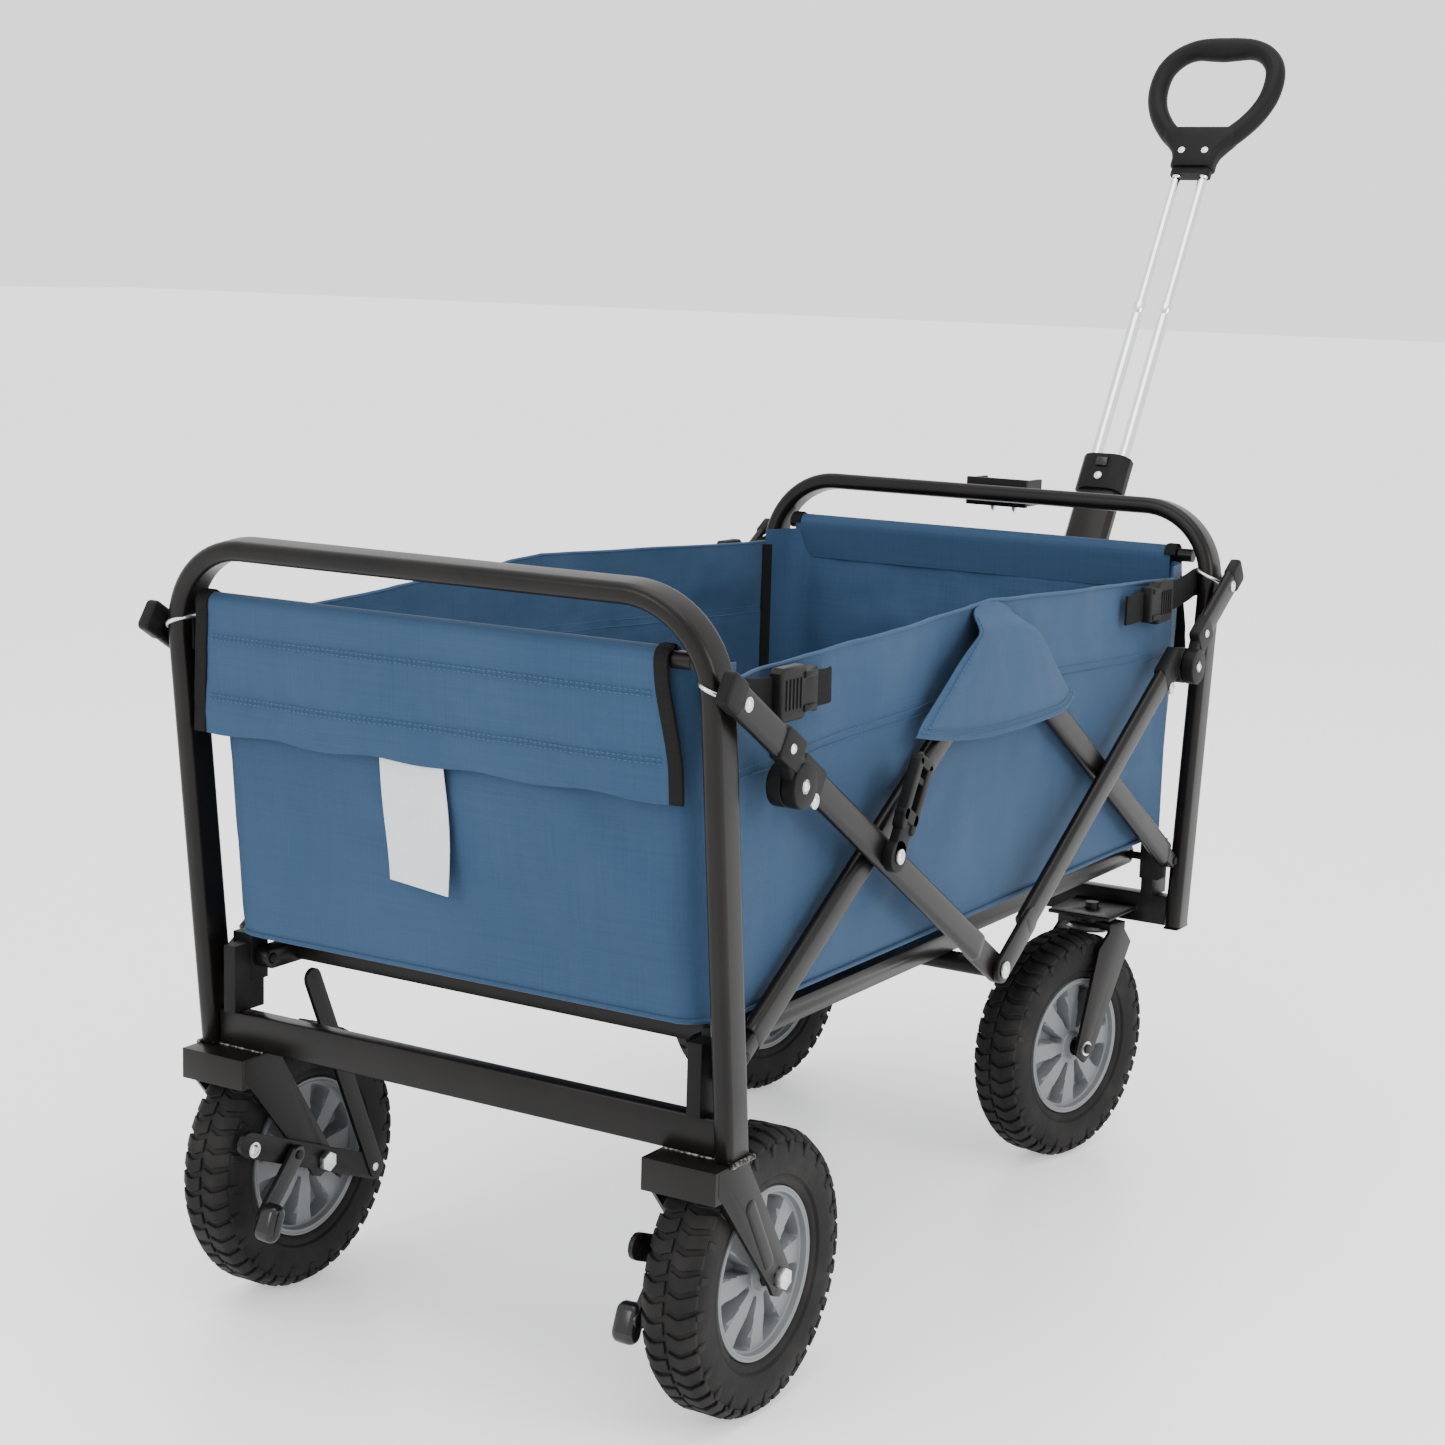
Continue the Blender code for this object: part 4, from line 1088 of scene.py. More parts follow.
def side_wall(name, end, side):
    def place(u, v):
        y = FOOT[0] * u
        high = side_top(y)
        inset, z = rolled_edge(v * SIDE_ROWS, SIDE_ROWS, high)
        spot = at(side * WALL_X, end * y, z)
        near_buckle = ease(z, 0.455, 0.495) * ease(y, 0.17, 0.24) * (1 - ease(y, 0.33, 0.37))
        free = ease(u, 0, 0.12) * (1 - ease(u, 0.9, 1)) * ease(z, WALL_LOW, WALL_LOW + 0.04)
        pleat = slack(spot, 0.0036, 11, side * 5) + slack(spot, 0.0010, 40, 2)
        band = 0.0007 if high - z < 0.066 else 0
        out = min(pleat * free, 0.0028) + band - inset - 0.0045 * near_buckle
        return at(side * (WALL_X + out), end * y, z)

    rows = grid(place, SIDE_COLUMNS, SIDE_ROWS)
    panel(f"canvas_{name}", rows, CANVAS, body_of(name),
          [name], end)
    lines = []
    for below in (0.0615, 0.0675):
        line = []
        for i in range(SIDE_COLUMNS + 1):
            high = side_top(FOOT[0] * i / SIDE_COLUMNS)
            share = (high - below - WALL_LOW - LIP[-1][1]) / (high - WALL_LOW - LIP[-1][1])
            row = len(LIP) - 1 + share * (SIDE_ROWS - len(LIP) + 1)
            spot = place(i / SIDE_COLUMNS, row / SIDE_ROWS)
            line.append(spot + Vector((side * 0.0013, 0, 0)))
        lines.append(line)
        lines.append([p - Vector((side * 0.0026, 0, 0)) for p in line])
    squashed(seam(f"stitches_{name}", lines, body_of(name)), end)
    cord = sweep(rows[-1], ring(0.0017, 8), (1, 0, 0))
    welt = [p + Vector((side * 0.0012, 0, 0)) for p in rows[3]]
    edge = dress(f"edges_{name}", joined(cord, sweep(welt, ring(0.0017, 8), (1, 0, 0))),
                 CANVAS, body_of(name))
    squashed(edge, end)


for side_name, side in SIDES.items():
    for end_name, end in ENDS.items():
        side_wall(f"bag_{end_name}_side_{side_name}", end, side)
print("side walls", PANELS[-1])

# %% [markdown]
# A hood of canvas hangs over the middle joint on each side, so that fingers stay out of it. It is
# a fan: from a short line at the wall's upper edge down to a curved hem. It crosses the joint of
# the two upper arms, so it is taken off their body and stays where it is.

# %% Hoods over the middle joints
HOOD_HEM = [(0.1500, 0.4535), (0.1050, 0.4455), (0.0500, 0.4405), (-0.0100, 0.4390),
            (-0.0650, 0.4400), (-0.1010, 0.4435), (-0.1230, 0.4520)]
HOOD_TOP = [(0.0300, 0.5340), (0.0200, 0.5362), (0.0080, 0.5372), (-0.0060, 0.5366),
            (-0.0180, 0.5340), (-0.0300, 0.5290), (-0.0400, 0.5210)]


def through(points, t):
    """A smooth run through evenly spaced points, t from 0 to 1."""
    spot = t * (len(points) - 1)
    k = min(int(spot), len(points) - 2)
    f = spot - k
    pick = lambda i: points[min(max(i, 0), len(points) - 1)]
    p0, p1, p2, p3 = pick(k - 1), pick(k), pick(k + 1), pick(k + 2)
    return tuple(0.5 * (2 * b + (c - a) * f + (2 * a - 5 * b + 4 * c - d) * f * f
                        + (3 * b - a - 3 * c + d) * f ** 3)
                 for a, b, c, d in zip(p0, p1, p2, p3))


def hood(side_name, side):
    out_x = BAR_X["long"][1] + 0.0042

    def place(u, v):
        (y0, z0), (y1, z1) = through(HOOD_TOP, u), through(HOOD_HEM, u)
        y, z = y0 + (y1 - y0) * v, z0 + (z1 - z0) * v
        rim = min(u, 1 - u)
        x = WALL_X + 0.0030 + (out_x - WALL_X - 0.0030) * ease(v, 0, 0.22)
        x += 0.0030 * ease(v, 0.1, 0.7) * ease(rim, 0, 0.3) + 0.0022 * ease(v, 0.9, 1)
        x -= 0.0035 * (1 - ease(rim, 0, 0.07)) * ease(v, 0.1, 0.4)
        return at(side * (x + slack(at(0, y, z), 0.0011, 24, 3)), y, z)

    rows = grid(place, 44, 26)
    made = panel(f"hood_{side_name}", rows, CANVAS, "rear_long_arms")
    return made, rows


def blended(piece):
    """Takes a piece off its body and leaves it fixed where it stands."""
    piece.parent = None
    piece.matrix_world = Matrix.Identity(4)
    at(0, 0.040, TOP[1])
    at(0, -0.040, TOP[1])
    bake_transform(piece)


for side_name, side in SIDES.items():
    made, rows = hood(side_name, side)
    blended(made)
    lift = Vector((side * 0.0011, 0, 0))
    lines = [[p + lift for p in row[1:-1]] for row in (rows[-3], rows[-2])]
    lines.append([row[2] + lift for row in rows[2:-2]])
    blended(seam(f"hood_stitches_{side_name}", lines, "rear_long_arms"))
print("hood", PANELS[-1])

# %% [markdown]
# The floor is two padded boards wrapped in the same canvas. Each rides on its own half of the
# hinged floor frame, and carries an apron of canvas that closes the gap at the middle.

# %% Floor boards and their aprons
APRON_HALF = 0.2005
for end_name, end in ENDS.items():
    board = f"{end_name}_floor_board"
    polished(board, CANVAS, 0.0035, 35, 4)
    polished(f"{end_name}_floor_frame", COAT, 0.0014)
    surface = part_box(board)[1].z + 0.0012

    def apron(u, v, end=end):
        y = 0.0012 + 0.3835 * v
        x = (2 * u - 1) * (APRON_HALF - 0.0160 * ease(y, 0.3580, 0.3847))
        spot = at(x, end * y, surface)
        edge = max(abs(x) / APRON_HALF, 1 - y / 0.03, (y - 0.31) / 0.03)
        lift = 0.0015 + slack(spot, 0.0016, 18, 1) * (1 - ease(edge, 0.8, 1))
        return at(x, end * y, surface + abs(lift))

    panel(f"floor_canvas_{end_name}", grid(apron, 40, 36), CANVAS,
          body_of(board))
print("floor", PANELS[-1])

# %% [markdown]
# A wheel is two pieces. The tyre is a turned section with scalloped shoulders, and a ring of
# chevron blocks makes its tread: each block is modelled once, and Geometry Nodes turns copies of
# it about the axle. The rim is a disc whose face is pushed in and out in a polar grid, which
# gives eight flat sectors between eight deep wedge pockets inside one smooth raised ring.

# %% Wheels
TREAD_HALF = 0.0215
TYRE_SECTION = [(0.0590, 0.0135), (0.0640, 0.0182), (0.0665, 0.0192), (0.0690, 0.0188),
                (0.0705, 0.0206), (0.0800, 0.0221), (0.0875, 0.0222), (0.0925, 0.0208),
                (0.0966, 0.0176), (0.0990, 0.0120), (0.0996, 0.0060)]


def turned_from(axle, shape):
    """Moves a shape made round the origin onto its axle."""
    bmesh.ops.transform(shape, matrix=axle, verts=shape.verts)
    return shape


def chevron(half, way):
    """One tread block: a kinked bar across half the tread, wrapped to the tyre's round."""
    shape = bmesh.new()
    rows = []
    for i in range(6):
        t = i / 5
        x = way * (0.0012 + (half - 0.0012) * t)
        kink = 0.0040 * (1 - abs(2 * t - 0.9))
        drop = 0.0052 * ease(t, 0.62, 1.0)
        rows.append([(x, kink - 0.0052, 0.0976 - drop), (x, kink - 0.0047, 0.10145 - drop),
                     (x, kink + 0.0047, 0.10145 - drop), (x, kink + 0.0052, 0.0976 - drop)])
    rings = [[shape.verts.new(p) for p in row] for row in rows]
    for a, b in zip(rings, rings[1:]):
        for j in range(4):
            shape.faces.new((a[j - 1], a[j], b[j], b[j - 1]))
    shape.faces.new(rings[0])
    shape.faces.new(rings[-1])
    bmesh.ops.recalc_face_normals(shape, faces=shape.faces)
    return soften(shape, 0.0005, 50, 1)


def nib(way):
    """A small rubber lug at the tyre's shoulder."""
    low_corner = Vector((min(way * 0.0185, way * 0.0224), -0.0030, 0.0845))
    high_corner = Vector((max(way * 0.0185, way * 0.0224), 0.0030, 0.0945))
    return block(low_corner, high_corner, 0.0009, 1)


def ring_of(shape, count, start, look):
    """Copies of a shape turned about the origin's X axis, as a mesh."""
    mesh = bpy.data.meshes.new("block")
    shape.to_mesh(mesh)
    shape.free()
    carrier = bpy.data.objects.new("block", mesh)
    bpy.context.scene.collection.objects.link(carrier)
    made = grown(AXLE_RING, bpy.data.meshes.new("empty"), block=carrier, count=count,
                 centre=(0.0, 0.0, 0.0), start=start, finish=look)
    bpy.data.objects.remove(carrier)
    copies = bmesh.new()
    copies.from_mesh(made)
    return copies


def tyre_shape():
    section = TYRE_SECTION + [(r, -a) for r, a in reversed(TYRE_SECTION)]
    body = lathe(section, Vector((0, 0, 0)), "X", 96)
    for vert in body.verts:
        r = math.hypot(vert.co.y, vert.co.z)
        if 0.084 < r < 0.097:
            angle = math.atan2(vert.co.z, vert.co.y)
            vert.co.x *= 1 - 0.035 * (0.5 + 0.5 * math.cos(24 * angle))
    parts = [body]
    for way in (-1, 1):
        parts.append(ring_of(chevron(TREAD_HALF - 0.0004, way), 44, way * 0.035, RUBBER))
        parts.append(ring_of(nib(way), 24, 0.0, RUBBER))
    return joined(*parts)


def rim_depth(r, angle, hub_reach):
    """How far the rim's face stands from its middle plane."""
    if r > 0.0560:
        lip = ease(r, 0.0560, 0.0575) * (1 - ease(r, 0.0612, 0.0620))
        return 0.0128 + 0.0052 * lip - 0.0009 * math.sin(math.pi * ease(r, 0.0575, 0.0612))
    if r < 0.0135:
        return 0.0128 + (hub_reach - 0.0128) * (1 - ease(r, 0.0110, 0.0135))
    turn = math.tau / 8
    off = abs(angle % turn - turn / 2)
    wedge = 0.205 * (0.55 + 0.45 * ease(r, 0.012, 0.05))
    inside = (1 - ease(off, wedge - 0.018, wedge)) * ease(r, 0.0165, 0.0185)
    inside *= 1 - ease(r, 0.0528, 0.0545)
    flat = 0.0142 - 0.0016 * ease(r, 0.02, 0.052)
    return flat - 0.0112 * inside


def rim_shape(hub_reach):
    """Both faces of the rim and its barrel as one closed body."""
    radii = [0.0086, 0.0094, 0.0105, 0.0112, 0.0124, 0.0135, 0.0150, 0.0165, 0.0176, 0.0187,
             0.025, 0.032, 0.039, 0.046, 0.0522, 0.0529, 0.0537, 0.0546, 0.0556, 0.0563,
             0.0572, 0.0582, 0.0594, 0.0606, 0.0613, 0.0618]
    steps = 192
    shape = bmesh.new()
    faces = {}
    for way in (-1, 1):
        faces[way] = [[shape.verts.new((way * rim_depth(r, math.tau * i / steps, hub_reach),
                                        r * math.cos(math.tau * i / steps),
                                        r * math.sin(math.tau * i / steps)))
                       for i in range(steps)] for r in radii]
        for a, b in zip(faces[way], faces[way][1:]):
            for i in range(steps):
                shape.faces.new((a[i - 1], a[i], b[i], b[i - 1]))
    for row in (0, -1):
        for i in range(steps):
            a, b = faces[-1][row], faces[1][row]
            shape.faces.new((a[i - 1], a[i], b[i], b[i - 1]))
    bmesh.ops.recalc_face_normals(shape, faces=shape.faces)
    return shape


AXLES = {}
for end_name in ENDS:
    for side_name in SIDES:
        wheel = f"{end_name}_wheel_{side_name}"
        centre = centre_of(f"{wheel}_tyre")
        axis = Vector(next(j["axis"] for j in frame["joints"] if j["child"] == wheel))
        if axis.x < 0:
            axis = -axis
        turn = Vector((1, 0, 0)).rotation_difference(axis).to_matrix().to_4x4()
        AXLES[wheel] = Matrix.Translation(centre) @ turn
        dress(f"tread_{wheel}", turned_from(AXLES[wheel], tyre_shape()), RUBBER,
              wheel, [f"{wheel}_tyre"], 32)
        dress(f"moulded_{wheel}", turned_from(AXLES[wheel], rim_shape(0.0185)), NYLON,
              wheel, [f"{wheel}_rim"], 24)
print("wheels", list(AXLES), "faces so far", TALLY["faces"])

# %% [markdown]
# The forks that carry the wheels are folded steel. Their model shapes are right in outline, so
# they are rounded at every edge; what makes them read as steel is what is added: an oval dimple
# pressed in each leg, a weld bead where fork meets crossbar, and a washered bolt on the axle.

# %% Forks, welds and axle bolts
def dimple(start, end, r, x, side, rise=0.0012):
    """A long raised oval on a fork's leg, in the plane across the axle."""
    shape = bmesh.new()
    rings = []
    for grow, out in ((1.0, -0.0006), (0.92, rise * 0.55), (0.70, rise), (0.35, rise * 1.1)):
        outline = capsule(start, end, r * grow, 9)
        rings.append([shape.verts.new(at(side * (x + out), y, z)) for y, z in outline])
    for a, b in zip(rings, rings[1:]):
        for j in range(len(a)):
            shape.faces.new((a[j - 1], a[j], b[j], b[j - 1]))
    shape.faces.new(rings[0])
    shape.faces.new(rings[-1])
    bmesh.ops.recalc_face_normals(shape, faces=shape.faces)
    return shape


def bead(path, r, out):
    """A weld's rippled run of metal along a path."""
    line = []
    for a, b in zip(path, path[1:]):
        steps = max(int((b - a).length / 0.0016), 1)
        line += [a.lerp(b, i / steps) for i in range(steps)]
    line.append(path[-1])
    swell = lambda i: (1 + 0.16 * math.sin(2.1 * i), 1 + 0.16 * math.sin(2.1 * i))
    return sweep(line, ring(r, 8), out, size=swell)


for side_name, side in SIDES.items():
    fork = f"rear_fork_{side_name}"
    polished(fork, COAT, 0.0016, 35, 3)
    fork_low, fork_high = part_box(fork)
    body = body_of(fork)
    inner, outer = min(abs(fork_low.x), abs(fork_high.x)), max(abs(fork_low.x), abs(fork_high.x))
    y0, y1 = fork_low.y - MID, fork_high.y - MID
    top = fork_high.z
    leg = dimple((0.3440, 0.1180), (0.3700, 0.1640), 0.0062, outer - 0.0001, side)
    dress(f"dimple_{fork}", leg, COAT, body)
    line = [at(side * (inner + 0.002), y1 - 0.026, top), at(side * (outer - 0.002), y1 - 0.026,
                                                           top)]
    back = [at(side * (POST_X + 0.0085), 0.3700, top), at(side * (POST_X + 0.0085), 0.3980, top)]
    dress(f"weld_{fork}", joined(bead(line, 0.0024, (0, 1, 0)), bead(back, 0.0020, (1, 0, 0))),
          WELD, body)
    axle = f"rear_axle_{side_name}"
    polished(axle, ZINC, 0.0009)
    axle_y = centre_of(axle).y - MID
    axle_z = centre_of(axle).z
    heads(f"axle_bolts_{side_name}", [
        (at(side * (outer + 0.0006), axle_y, axle_z), (side, 0, 0)),
        (at(side * (outer + 0.0040), axle_y, axle_z), (side, 0, 0))], body, 0.0046, 0.0026,
        0.0066, 0.0014)
    caster = f"caster_fork_{side_name}"
    polished(caster, COAT, 0.0015, 35, 3)
    stem = JOINTS[next(j for j in JOINTS if "caster" in j and side_name in j)]
    washer = lathe([(0.0060, 0.2040), (0.0205, 0.2040), (0.0225, 0.2062), (0.0205, 0.2084),
                    (0.0060, 0.2084)], Vector((stem.x, stem.y, -0.0030)), "Z", 40)
    dress(f"bearing_{caster}", washer, ZINC, body_of(caster))
    wheel = f"front_wheel_{side_name}"
    turn = AXLES[wheel]
    across = turn.to_3x3() @ Vector((1, 0, 0))
    centre = turn.translation
    spots = [(centre + across * way * 0.0300, across * way) for way in (-1, 1)]
    heads(f"caster_bolts_{side_name}", spots, body_of(caster), 0.0046, 0.0030, 0.0066, 0.0022)
print("forks and bolts", TALLY)

# %% [markdown]
# The brakes are flat plates that hang inside the rear wheels: a long plate to the axle, a strut
# up to the frame and a small glossy pedal to step on. The plates keep their model outline with
# rolled edges and gain rivets; the pedal is an arm that ends in a rounded pad.

# %% Brakes
for side_name, side in SIDES.items():
    plate, pedal = f"brake_plate_{side_name}", f"brake_pedal_{side_name}"
    polished(plate, COAT, 0.0012, 35, 3)
    face = min(abs(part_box(plate)[0].x), abs(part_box(plate)[1].x)) + 0.0086
    inside = (-side, 0, 0)
    heads(f"brake_rivets_{side_name}", [
        (at(side * face, 0.2690, 0.0800), inside), (at(side * face, 0.4080, 0.1320), inside),
        (at(side * face, 0.3280, 0.1015), inside)], body_of(plate), 0.0044, 0.0028, 0.0060,
        0.0014)
    arm = slab(capsule((0.3660, 0.1180), (0.4020, 0.0790), 0.0072), side * 0.1635,
               side * 0.1695, 0.0016, 3)
    pad = slab(capsule((0.4010, 0.0830), (0.4062, 0.0700), 0.0076), side * 0.1505,
               side * 0.1697, 0.0058, 5)
    dress(f"moulded_{pedal}", joined(arm, pad), GLOSS, body_of(pedal),
          [pedal])
print("brakes dressed")

# %% [markdown]
# Between the posts and the floor frame sit the hinge blocks, and under the middle joint runs the
# cross tube. Small plugs close the ends of the tubes, as on any bent-tube furniture.

# %% Hinge blocks, cross tube and plugs
for side_name, side in SIDES.items():
    for end_name, end in ENDS.items():
        polished(f"{end_name}_hinge_block_{side_name}", PLASTIC, 0.0018, 35, 3)
        x = side * POST_X
        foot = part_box(f"{end_name}_hoop")[0].z
        plug = block((x - 0.0068, MID + end * post_y(foot) - 0.0130, foot - 0.0004),
                     (x + 0.0068, MID + end * post_y(foot) + 0.0130, foot + 0.0016), 0.0008)
        dress(f"plug_{end_name}_{side_name}", plug, PLASTIC,
              body_of(f"{end_name}_hoop"))
polished("centre_cross_tube", COAT, 0.0010, 35, 2)
cross_low, cross_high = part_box("centre_cross_tube")
cross = (cross_low + cross_high) / 2
heads("cross_tube_bolts", [(Vector((cross_high.x, cross.y, cross.z)), (1, 0, 0)),
                           (Vector((cross_low.x, cross.y, cross.z)), (-1, 0, 0))],
      body_of("centre_cross_tube"), 0.0050, 0.0030, 0.0068, 0.0012)
polished("handle_bracket", COAT, 0.0014, 35, 3)
polished("handle_clip", PLASTIC, 0.0016, 35, 3)
lever_low, lever_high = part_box("fold_latch_lever")
LEVER_LEAN = math.radians(30)


def on_lever(across, along):
    """A place on the latch lever in (y, z), measured from the crossing."""
    c, s = math.cos(LEVER_LEAN), math.sin(LEVER_LEAN)
    return CROSS[0] - along * s + across * c, CROSS[1] + along * c + across * s


def lever_bar(start, end, r, x0, x1):
    return slab(capsule(on_lever(*start), on_lever(*end), r), x0, x1, 0.0010, 3)


X0, X1 = lever_low.x, lever_high.x
lever = [lever_bar((0, 0), (0, 0.0001), 0.0118, X0 + 0.0012, X1),
         lever_bar((0, 0.004), (0, 0.026), 0.0085, X0 + 0.0012, X1),
         lever_bar((-0.0080, 0.022), (-0.0085, 0.0700), 0.0036, X0, X1),
         lever_bar((0.0080, 0.022), (0.0085, 0.0700), 0.0036, X0, X1),
         lever_bar((-0.0075, 0.0715), (0.0075, 0.0715), 0.0040, X0, X1),
         lever_bar((-0.0075, 0.0300), (0.0075, 0.0300), 0.0050, X0, X1),
         lever_bar((-0.0070, 0.0580), (0.0070, 0.0580), 0.0026, X0 + 0.0010, X1 - 0.0010),
         lever_bar((0.0, 0.030), (0.0, 0.0715), 0.0080, X1 - 0.0032, X1 - 0.0006)]
dress("latch_lever", joined(*lever), PLASTIC, body_of("fold_latch_lever"),
      ["fold_latch_lever"])
heads("latch_rivet", [(at(lever_low.x, CROSS[0], CROSS[1]), (-1, 0, 0))],
      body_of("fold_latch_lever"), 0.0044, 0.0018, 0.0056)
clip_low, clip_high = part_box("handle_clip")
clip_y = (clip_low.y + clip_high.y) / 2
heads("clip_screws", [(Vector((x, clip_y, clip_low.z + 0.0012)), (0, 0, -1))
                      for x in (-0.0110, 0.0110)], body_of("handle_clip"), 0.0030, 0.0080,
      0.0046)
print("latch", [round(v, 4) for v in lever_high - lever_low])

# %% [markdown]
# The handle telescopes: a square base tube with a moulded cap, two lower tubes and two thinner
# ones inside them, and a triangular grip. The grip is a loop with an oval section that swells at
# the palm; it is swept round one closed path. Its neck clamps both tubes with two screws.

# %% Handle
PIVOT = JOINTS["handle_tilt"]
LEANING = math.radians(30.9)
UP = Vector((0, -math.sin(LEANING), math.cos(LEANING)))
FACE = Vector((0, math.cos(LEANING), math.sin(LEANING)))


def on_handle(x, s, n=0.0):
    """A point across, along and above the handle."""
    return PIVOT + Vector((x, 0, 0)) + UP * s + FACE * n


polished("handle_base_tube", COAT, 0.0024, 35, 4)
polished("handle_cap", PLASTIC, 0.0024, 35, 4)
polished("handle_release_button", GLOSS, 0.0010, 35, 3)
heads("cap_screw", [(on_handle(0.0, 0.4080, 0.0150), FACE)], body_of("handle_cap"), 0.0034,
      0.0014, 0.0040, 0.0010)


def tube_run(x, start, end, r, crimps=()):
    """One handle tube with the small crimps rolled into it."""
    steps = int((end - start) / 0.0015)
    line = [on_handle(x, start + (end - start) * i / steps) for i in range(steps + 1)]

    def size(i):
        s = start + (end - start) * i / steps
        pinch = max([1 - ease(abs(s - c), 0.0, 0.0028) for c in crimps] or [0])
        rim = 0.10 * (1 - ease(min(s - start, end - s), 0, 0.004))
        return (1 - 0.20 * pinch - rim, 1 - 0.20 * pinch - rim)

    return sweep(line, ring(r, 20), FACE, size=size)


lower = [tube_run(x, 0.2905, 0.6160, 0.0062, (0.6060,)) for x in (-0.015, 0.015)]
collars = []
for x in (-0.015, 0.015):
    line = [on_handle(x, 0.6066 + 0.0110 * i / 8) for i in range(9)]
    collars.append(sweep(line, ring(0.0069, 20), FACE,
                         size=lambda i: (0.9 + 0.1 * math.sin(math.pi * i / 8),) * 2))
dress("lower_handle_tubes", joined(*lower), CHROME, "handle_lower",
      ["handle_lower_tubes"])
dress("handle_collars", joined(*collars), CHROME, "handle_lower")
upper = [tube_run(x, 0.4560, 0.7830, 0.0050, (0.7700, 0.7745)) for x in (-0.015, 0.015)]
yoke = sweep([on_handle(0, 0.7730), on_handle(0, 0.7805)], soft_box(0.0440, 0.0140, 0.0050, 4),
             FACE)
dress("upper_handle_tubes", joined(*upper), CHROME, "handle_upper",
      ["handle_upper_tubes"])
dress("grip_yoke", yoke, PLASTIC, "handle_upper")

GRIP_PATH = [(-0.0130, 0.8130), (-0.0290, 0.8200), (-0.0430, 0.8330), (-0.0550, 0.8500),
             (-0.0625, 0.8690), (-0.0645, 0.8880), (-0.0622, 0.9050), (-0.0550, 0.9180),
             (-0.0440, 0.9275), (-0.0300, 0.9325), (-0.0150, 0.9330), (0.0, 0.9325)]


def grip_shape():
    """The loop and its neck."""
    half = [through(GRIP_PATH, i / 44) for i in range(45)]
    loop = half + [(-x, s) for x, s in reversed(half[1:-1])] + [(0.0, 0.8110)]
    palm = lambda i: max(0, 1 - abs(min(i, len(loop) - i) - 44) / 12)

    def size(i):
        swell = 0.5 - 0.5 * math.cos(math.pi * palm(i))
        neck = 1 - ease(loop[i][1], 0.805, 0.835)
        return (1.0 + 0.30 * swell + 0.20 * neck, 1.0 + 0.10 * swell)

    body = sweep([on_handle(x, s) for x, s in loop], oval(0.0212, 0.0202, 8), FACE, True, size)
    neck = [(s, wide) for s, wide in ((0.7812, 0.0440), (0.7830, 0.0478), (0.7925, 0.0482),
                                      (0.8000, 0.0530), (0.8080, 0.0660), (0.8160, 0.0800),
                                      (0.8240, 0.0900), (0.8285, 0.0860))]
    outline = [(u / 0.05, v) for u, v in soft_box(0.05, 0.0225, 0.0080, 5)]
    collar = sweep([on_handle(0, s) for s, _ in neck], outline, FACE,
                   size=lambda i: (neck[i][1], 1 - 0.08 * (i in (0, len(neck) - 1))))
    return joined(body, collar)


dress("moulded_grip", grip_shape(), PLASTIC, "handle_upper", ["handle_grip"])
heads("grip_screws", [(on_handle(x, 0.7990, 0.0110), FACE) for x in (-0.013, 0.013)],
      "handle_upper", 0.0030, 0.0014, 0.0037, 0.0010)
print("handle dressed", TALLY)

# %% [markdown]
# The bag hangs from its corners. At each post a strap comes from a wire loop round the tube to a
# side-release buckle sewn on the side wall. Webbing is a thin strip with its own woven tape; the
# buckle is a moulded body with five ribs and two arms raised along its edges.

# %% Straps and buckles
def strip(line, wide, thick, out):
    """Webbing laid along a line, its wide side up and down."""
    return sweep(line, soft_box(wide, thick, min(thick, wide) * 0.45, 2), out)


def buckle(side, y0, y1, z, x):
    """A side-release buckle lying on the wall from y0 to y1."""
    way = 1 if y1 > y0 else -1
    long = abs(y1 - y0)
    half, thick = 0.0185, 0.0052
    outline = [(0, 0.0150), (0.004, half), (long * 0.62, half), (long * 0.70, half - 0.0040),
               (long * 0.80, half - 0.0046), (long, half - 0.0025)]
    outline = outline + [(a, -b) for a, b in reversed(outline)]
    body = slab([(y0 + way * a, z + b) for a, b in outline], side * (x - thick),
                side * (x + thick), 0.0022, 3)
    parts = [body]
    for k in range(5):
        a = long * (0.14 + 0.095 * k)
        parts.append(block((side * x + side * thick - 0.0009, MID + y0 + way * a - 0.0009,
                            z - 0.0105),
                           (side * x + side * thick + 0.0009, MID + y0 + way * a + 0.0009,
                            z + 0.0105), 0.0006, 2))
    for rise in (-1, 1):
        a0, a1 = sorted((MID + y0 + way * long * 0.60, MID + y0 + way * long * 0.92))
        parts.append(block((side * x + side * thick - 0.0012, a0, z + rise * 0.0115 - 0.0024),
                           (side * x + side * thick + 0.0010, a1, z + rise * 0.0115 + 0.0024),
                           0.0010, 2))
    return joined(*parts)


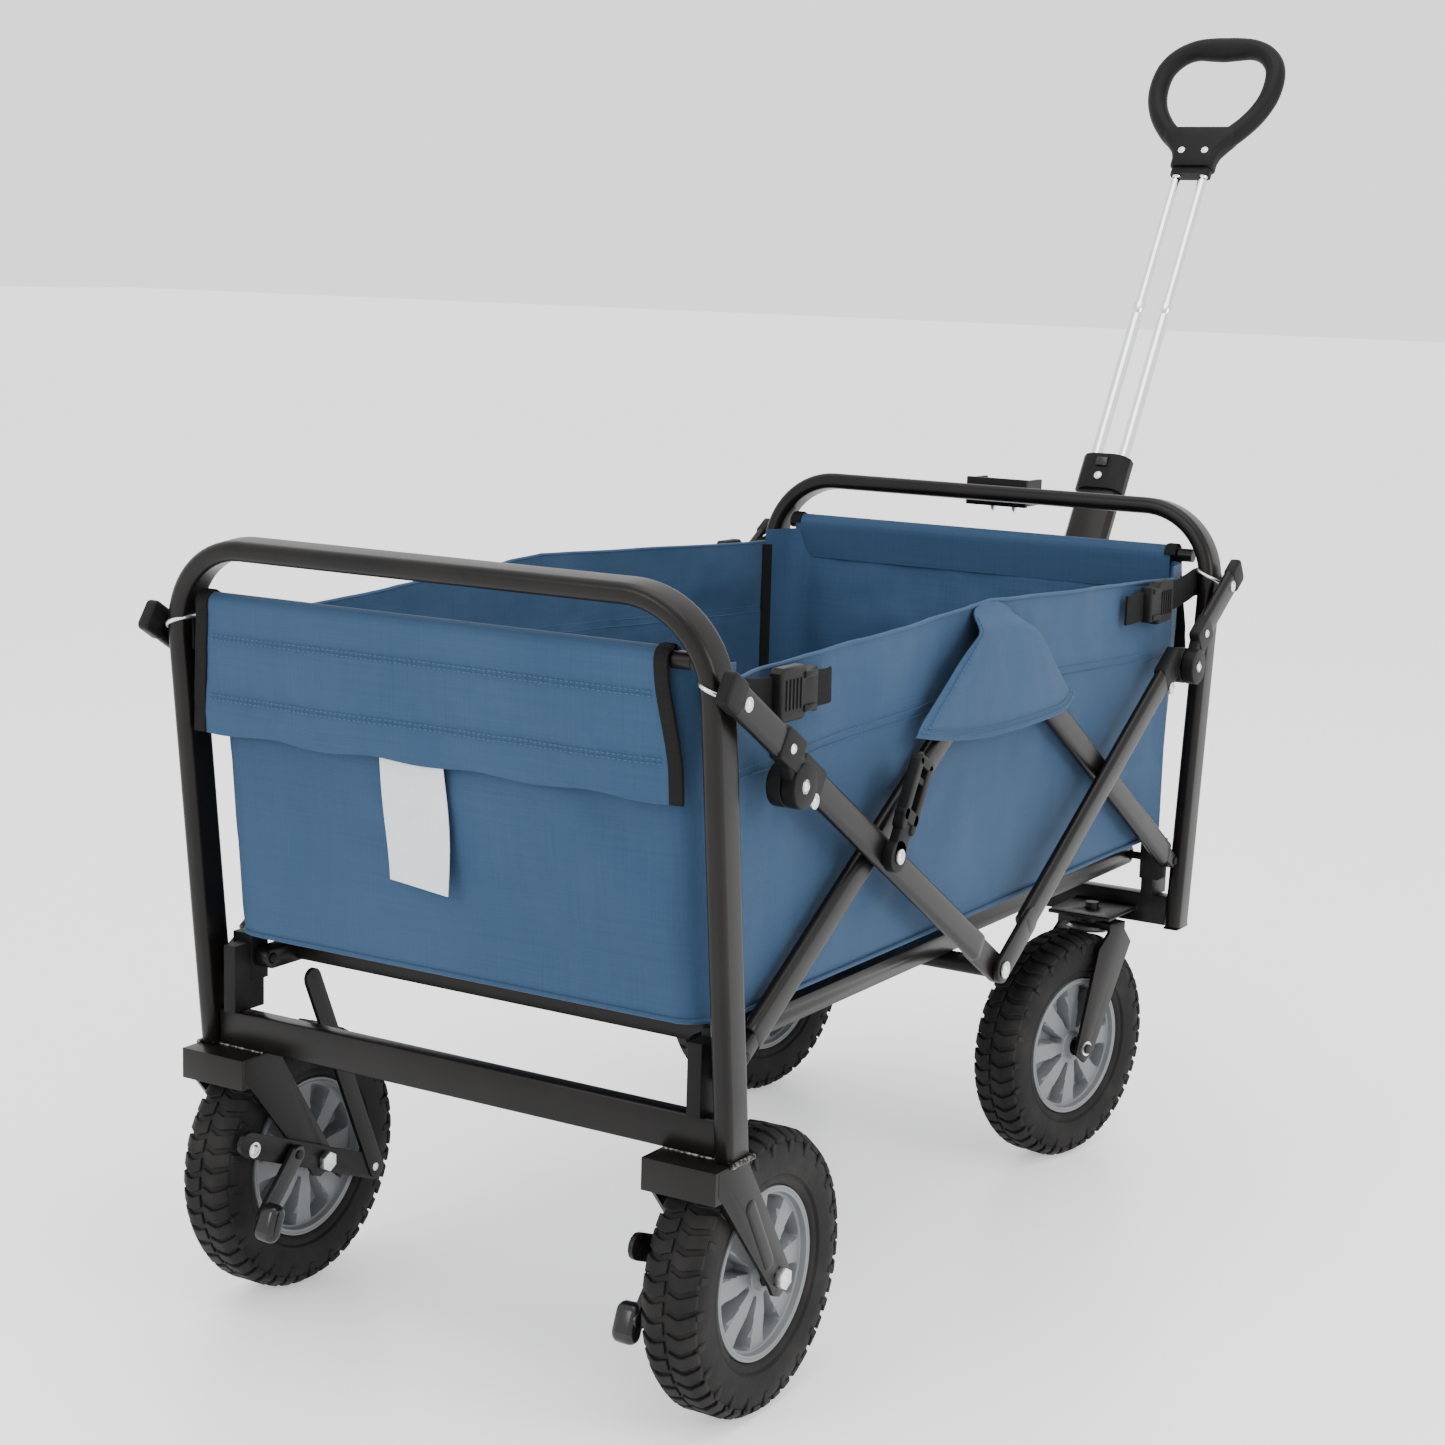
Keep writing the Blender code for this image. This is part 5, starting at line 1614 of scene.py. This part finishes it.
STRAP_X = 0.2172
for side_name, side in SIDES.items():
    for end_name, end in ENDS.items():
        z = 0.5150 if end > 0 else 0.5160
        post = post_y(z)
        start = post - 0.0125
        line = [at(side * (POST_X - 0.0095), end * (post + 0.0030), z),
                at(side * (POST_X - 0.0100), end * start, z),
                at(side * STRAP_X, end * (start - 0.020), z - 0.003),
                at(side * STRAP_X, end * (start - 0.060), z - 0.008),
                at(side * STRAP_X, end * (start - 0.135), z - 0.011),
                at(side * (STRAP_X - 0.0012), end * (start - 0.150), z - 0.011)]
        smooth = [Vector(through([tuple(p) for p in line], i / 30)) for i in range(31)]
        body = f"{end_name}_frame"
        strap = strip(smooth, 0.0250, 0.0020, (side, 0, 0))
        dress(f"strap_{end_name}_{side_name}", strap, TAPE, body)
        y0 = start - 0.068
        made = buckle(side, end * y0, end * (y0 - 0.050), z - 0.0088, STRAP_X + 0.0030)
        dress(f"buckle_{end_name}_{side_name}", made, PLASTIC, body)
        loop = [at(side * (POST_X + 0.0100 * math.cos(a)),
                   end * (post + 0.0162 * math.sin(a)), z + 0.0118 * math.sin(a * 0.5))
                for a in (math.tau * i / 28 for i in range(28))]
        wire = sweep(loop, ring(0.0015, 10), (0, 0, 1), True)
        dress(f"wire_loop_{end_name}_{side_name}", wire, ZINC, body)
print("straps and buckles at four corners")

# %% [markdown]
# Last come the small sewn things that nobody models and everybody notices: a care tag under the
# rear flap, black binding in the inner corners, and the welt along the bottom seam of each end.

# %% Tag, bindings and welts
def tag(u, v):
    x = 0.0490 - 0.0560 * u - 0.0040 * v
    z = 0.4460 - 0.0900 * v - 0.0030 * u
    curl = 0.0080 * v * v * (0.3 + 0.7 * u) + 0.0012 * math.sin(5 * v + 2 * u)
    return at(x, post_y(z) + 0.0060 + curl, z)


PAPER = finish("paper_tag", lambda place, weave: {
    "Base_Color": place.noise(90, 3).colour((0.52, 0.55, 0.60), (0.66, 0.68, 0.72)),
    "Roughness": 0.55 + place.noise(500, 2) * 0.2,
    "Normal": place.noise(900, 2).bump(0.00004)})
panel("care_tag", grid(tag, 10, 12), PAPER, "rear_frame",
      thickness=0.0006)
for end_name, end in ENDS.items():
    welt = []
    for i in range(89):
        x, y, nx, ny = wall_plan(2 * i / 88 - 1, post_y(WALL_LOW + 0.004) + 0.0004)
        welt.append(at(x - nx * 0.0008, end * (y - ny * 0.0008), WALL_LOW + 0.0042))
    dress(f"welt_{end_name}", sweep(welt, ring(0.0020, 8), (0, 0, 1)), CANVAS,
          f"{end_name}_frame")
    for side_name, side in SIDES.items():
        edge = [at(side * (WALL_X - 0.0042), end * (FOOT[0] - 0.0035), z)
                for z in (0.292, 0.34, 0.40, 0.46, 0.519)]
        dress(f"corner_binding_{end_name}_{side_name}",
              sweep(edge, soft_box(0.0100, 0.0022, 0.0009, 2), (-side, -end, 0)), TAPE,
              f"{end_name}_frame")
print("small sewn parts", PANELS[-1])

# %% [markdown]
# The close: the model nodes that no piece has replaced yet are listed.

# %% Close
missing = set(nodes) - {n for o in bpy.data.objects for n in o.get("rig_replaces", [])}
print("not yet replaced", sorted(missing))
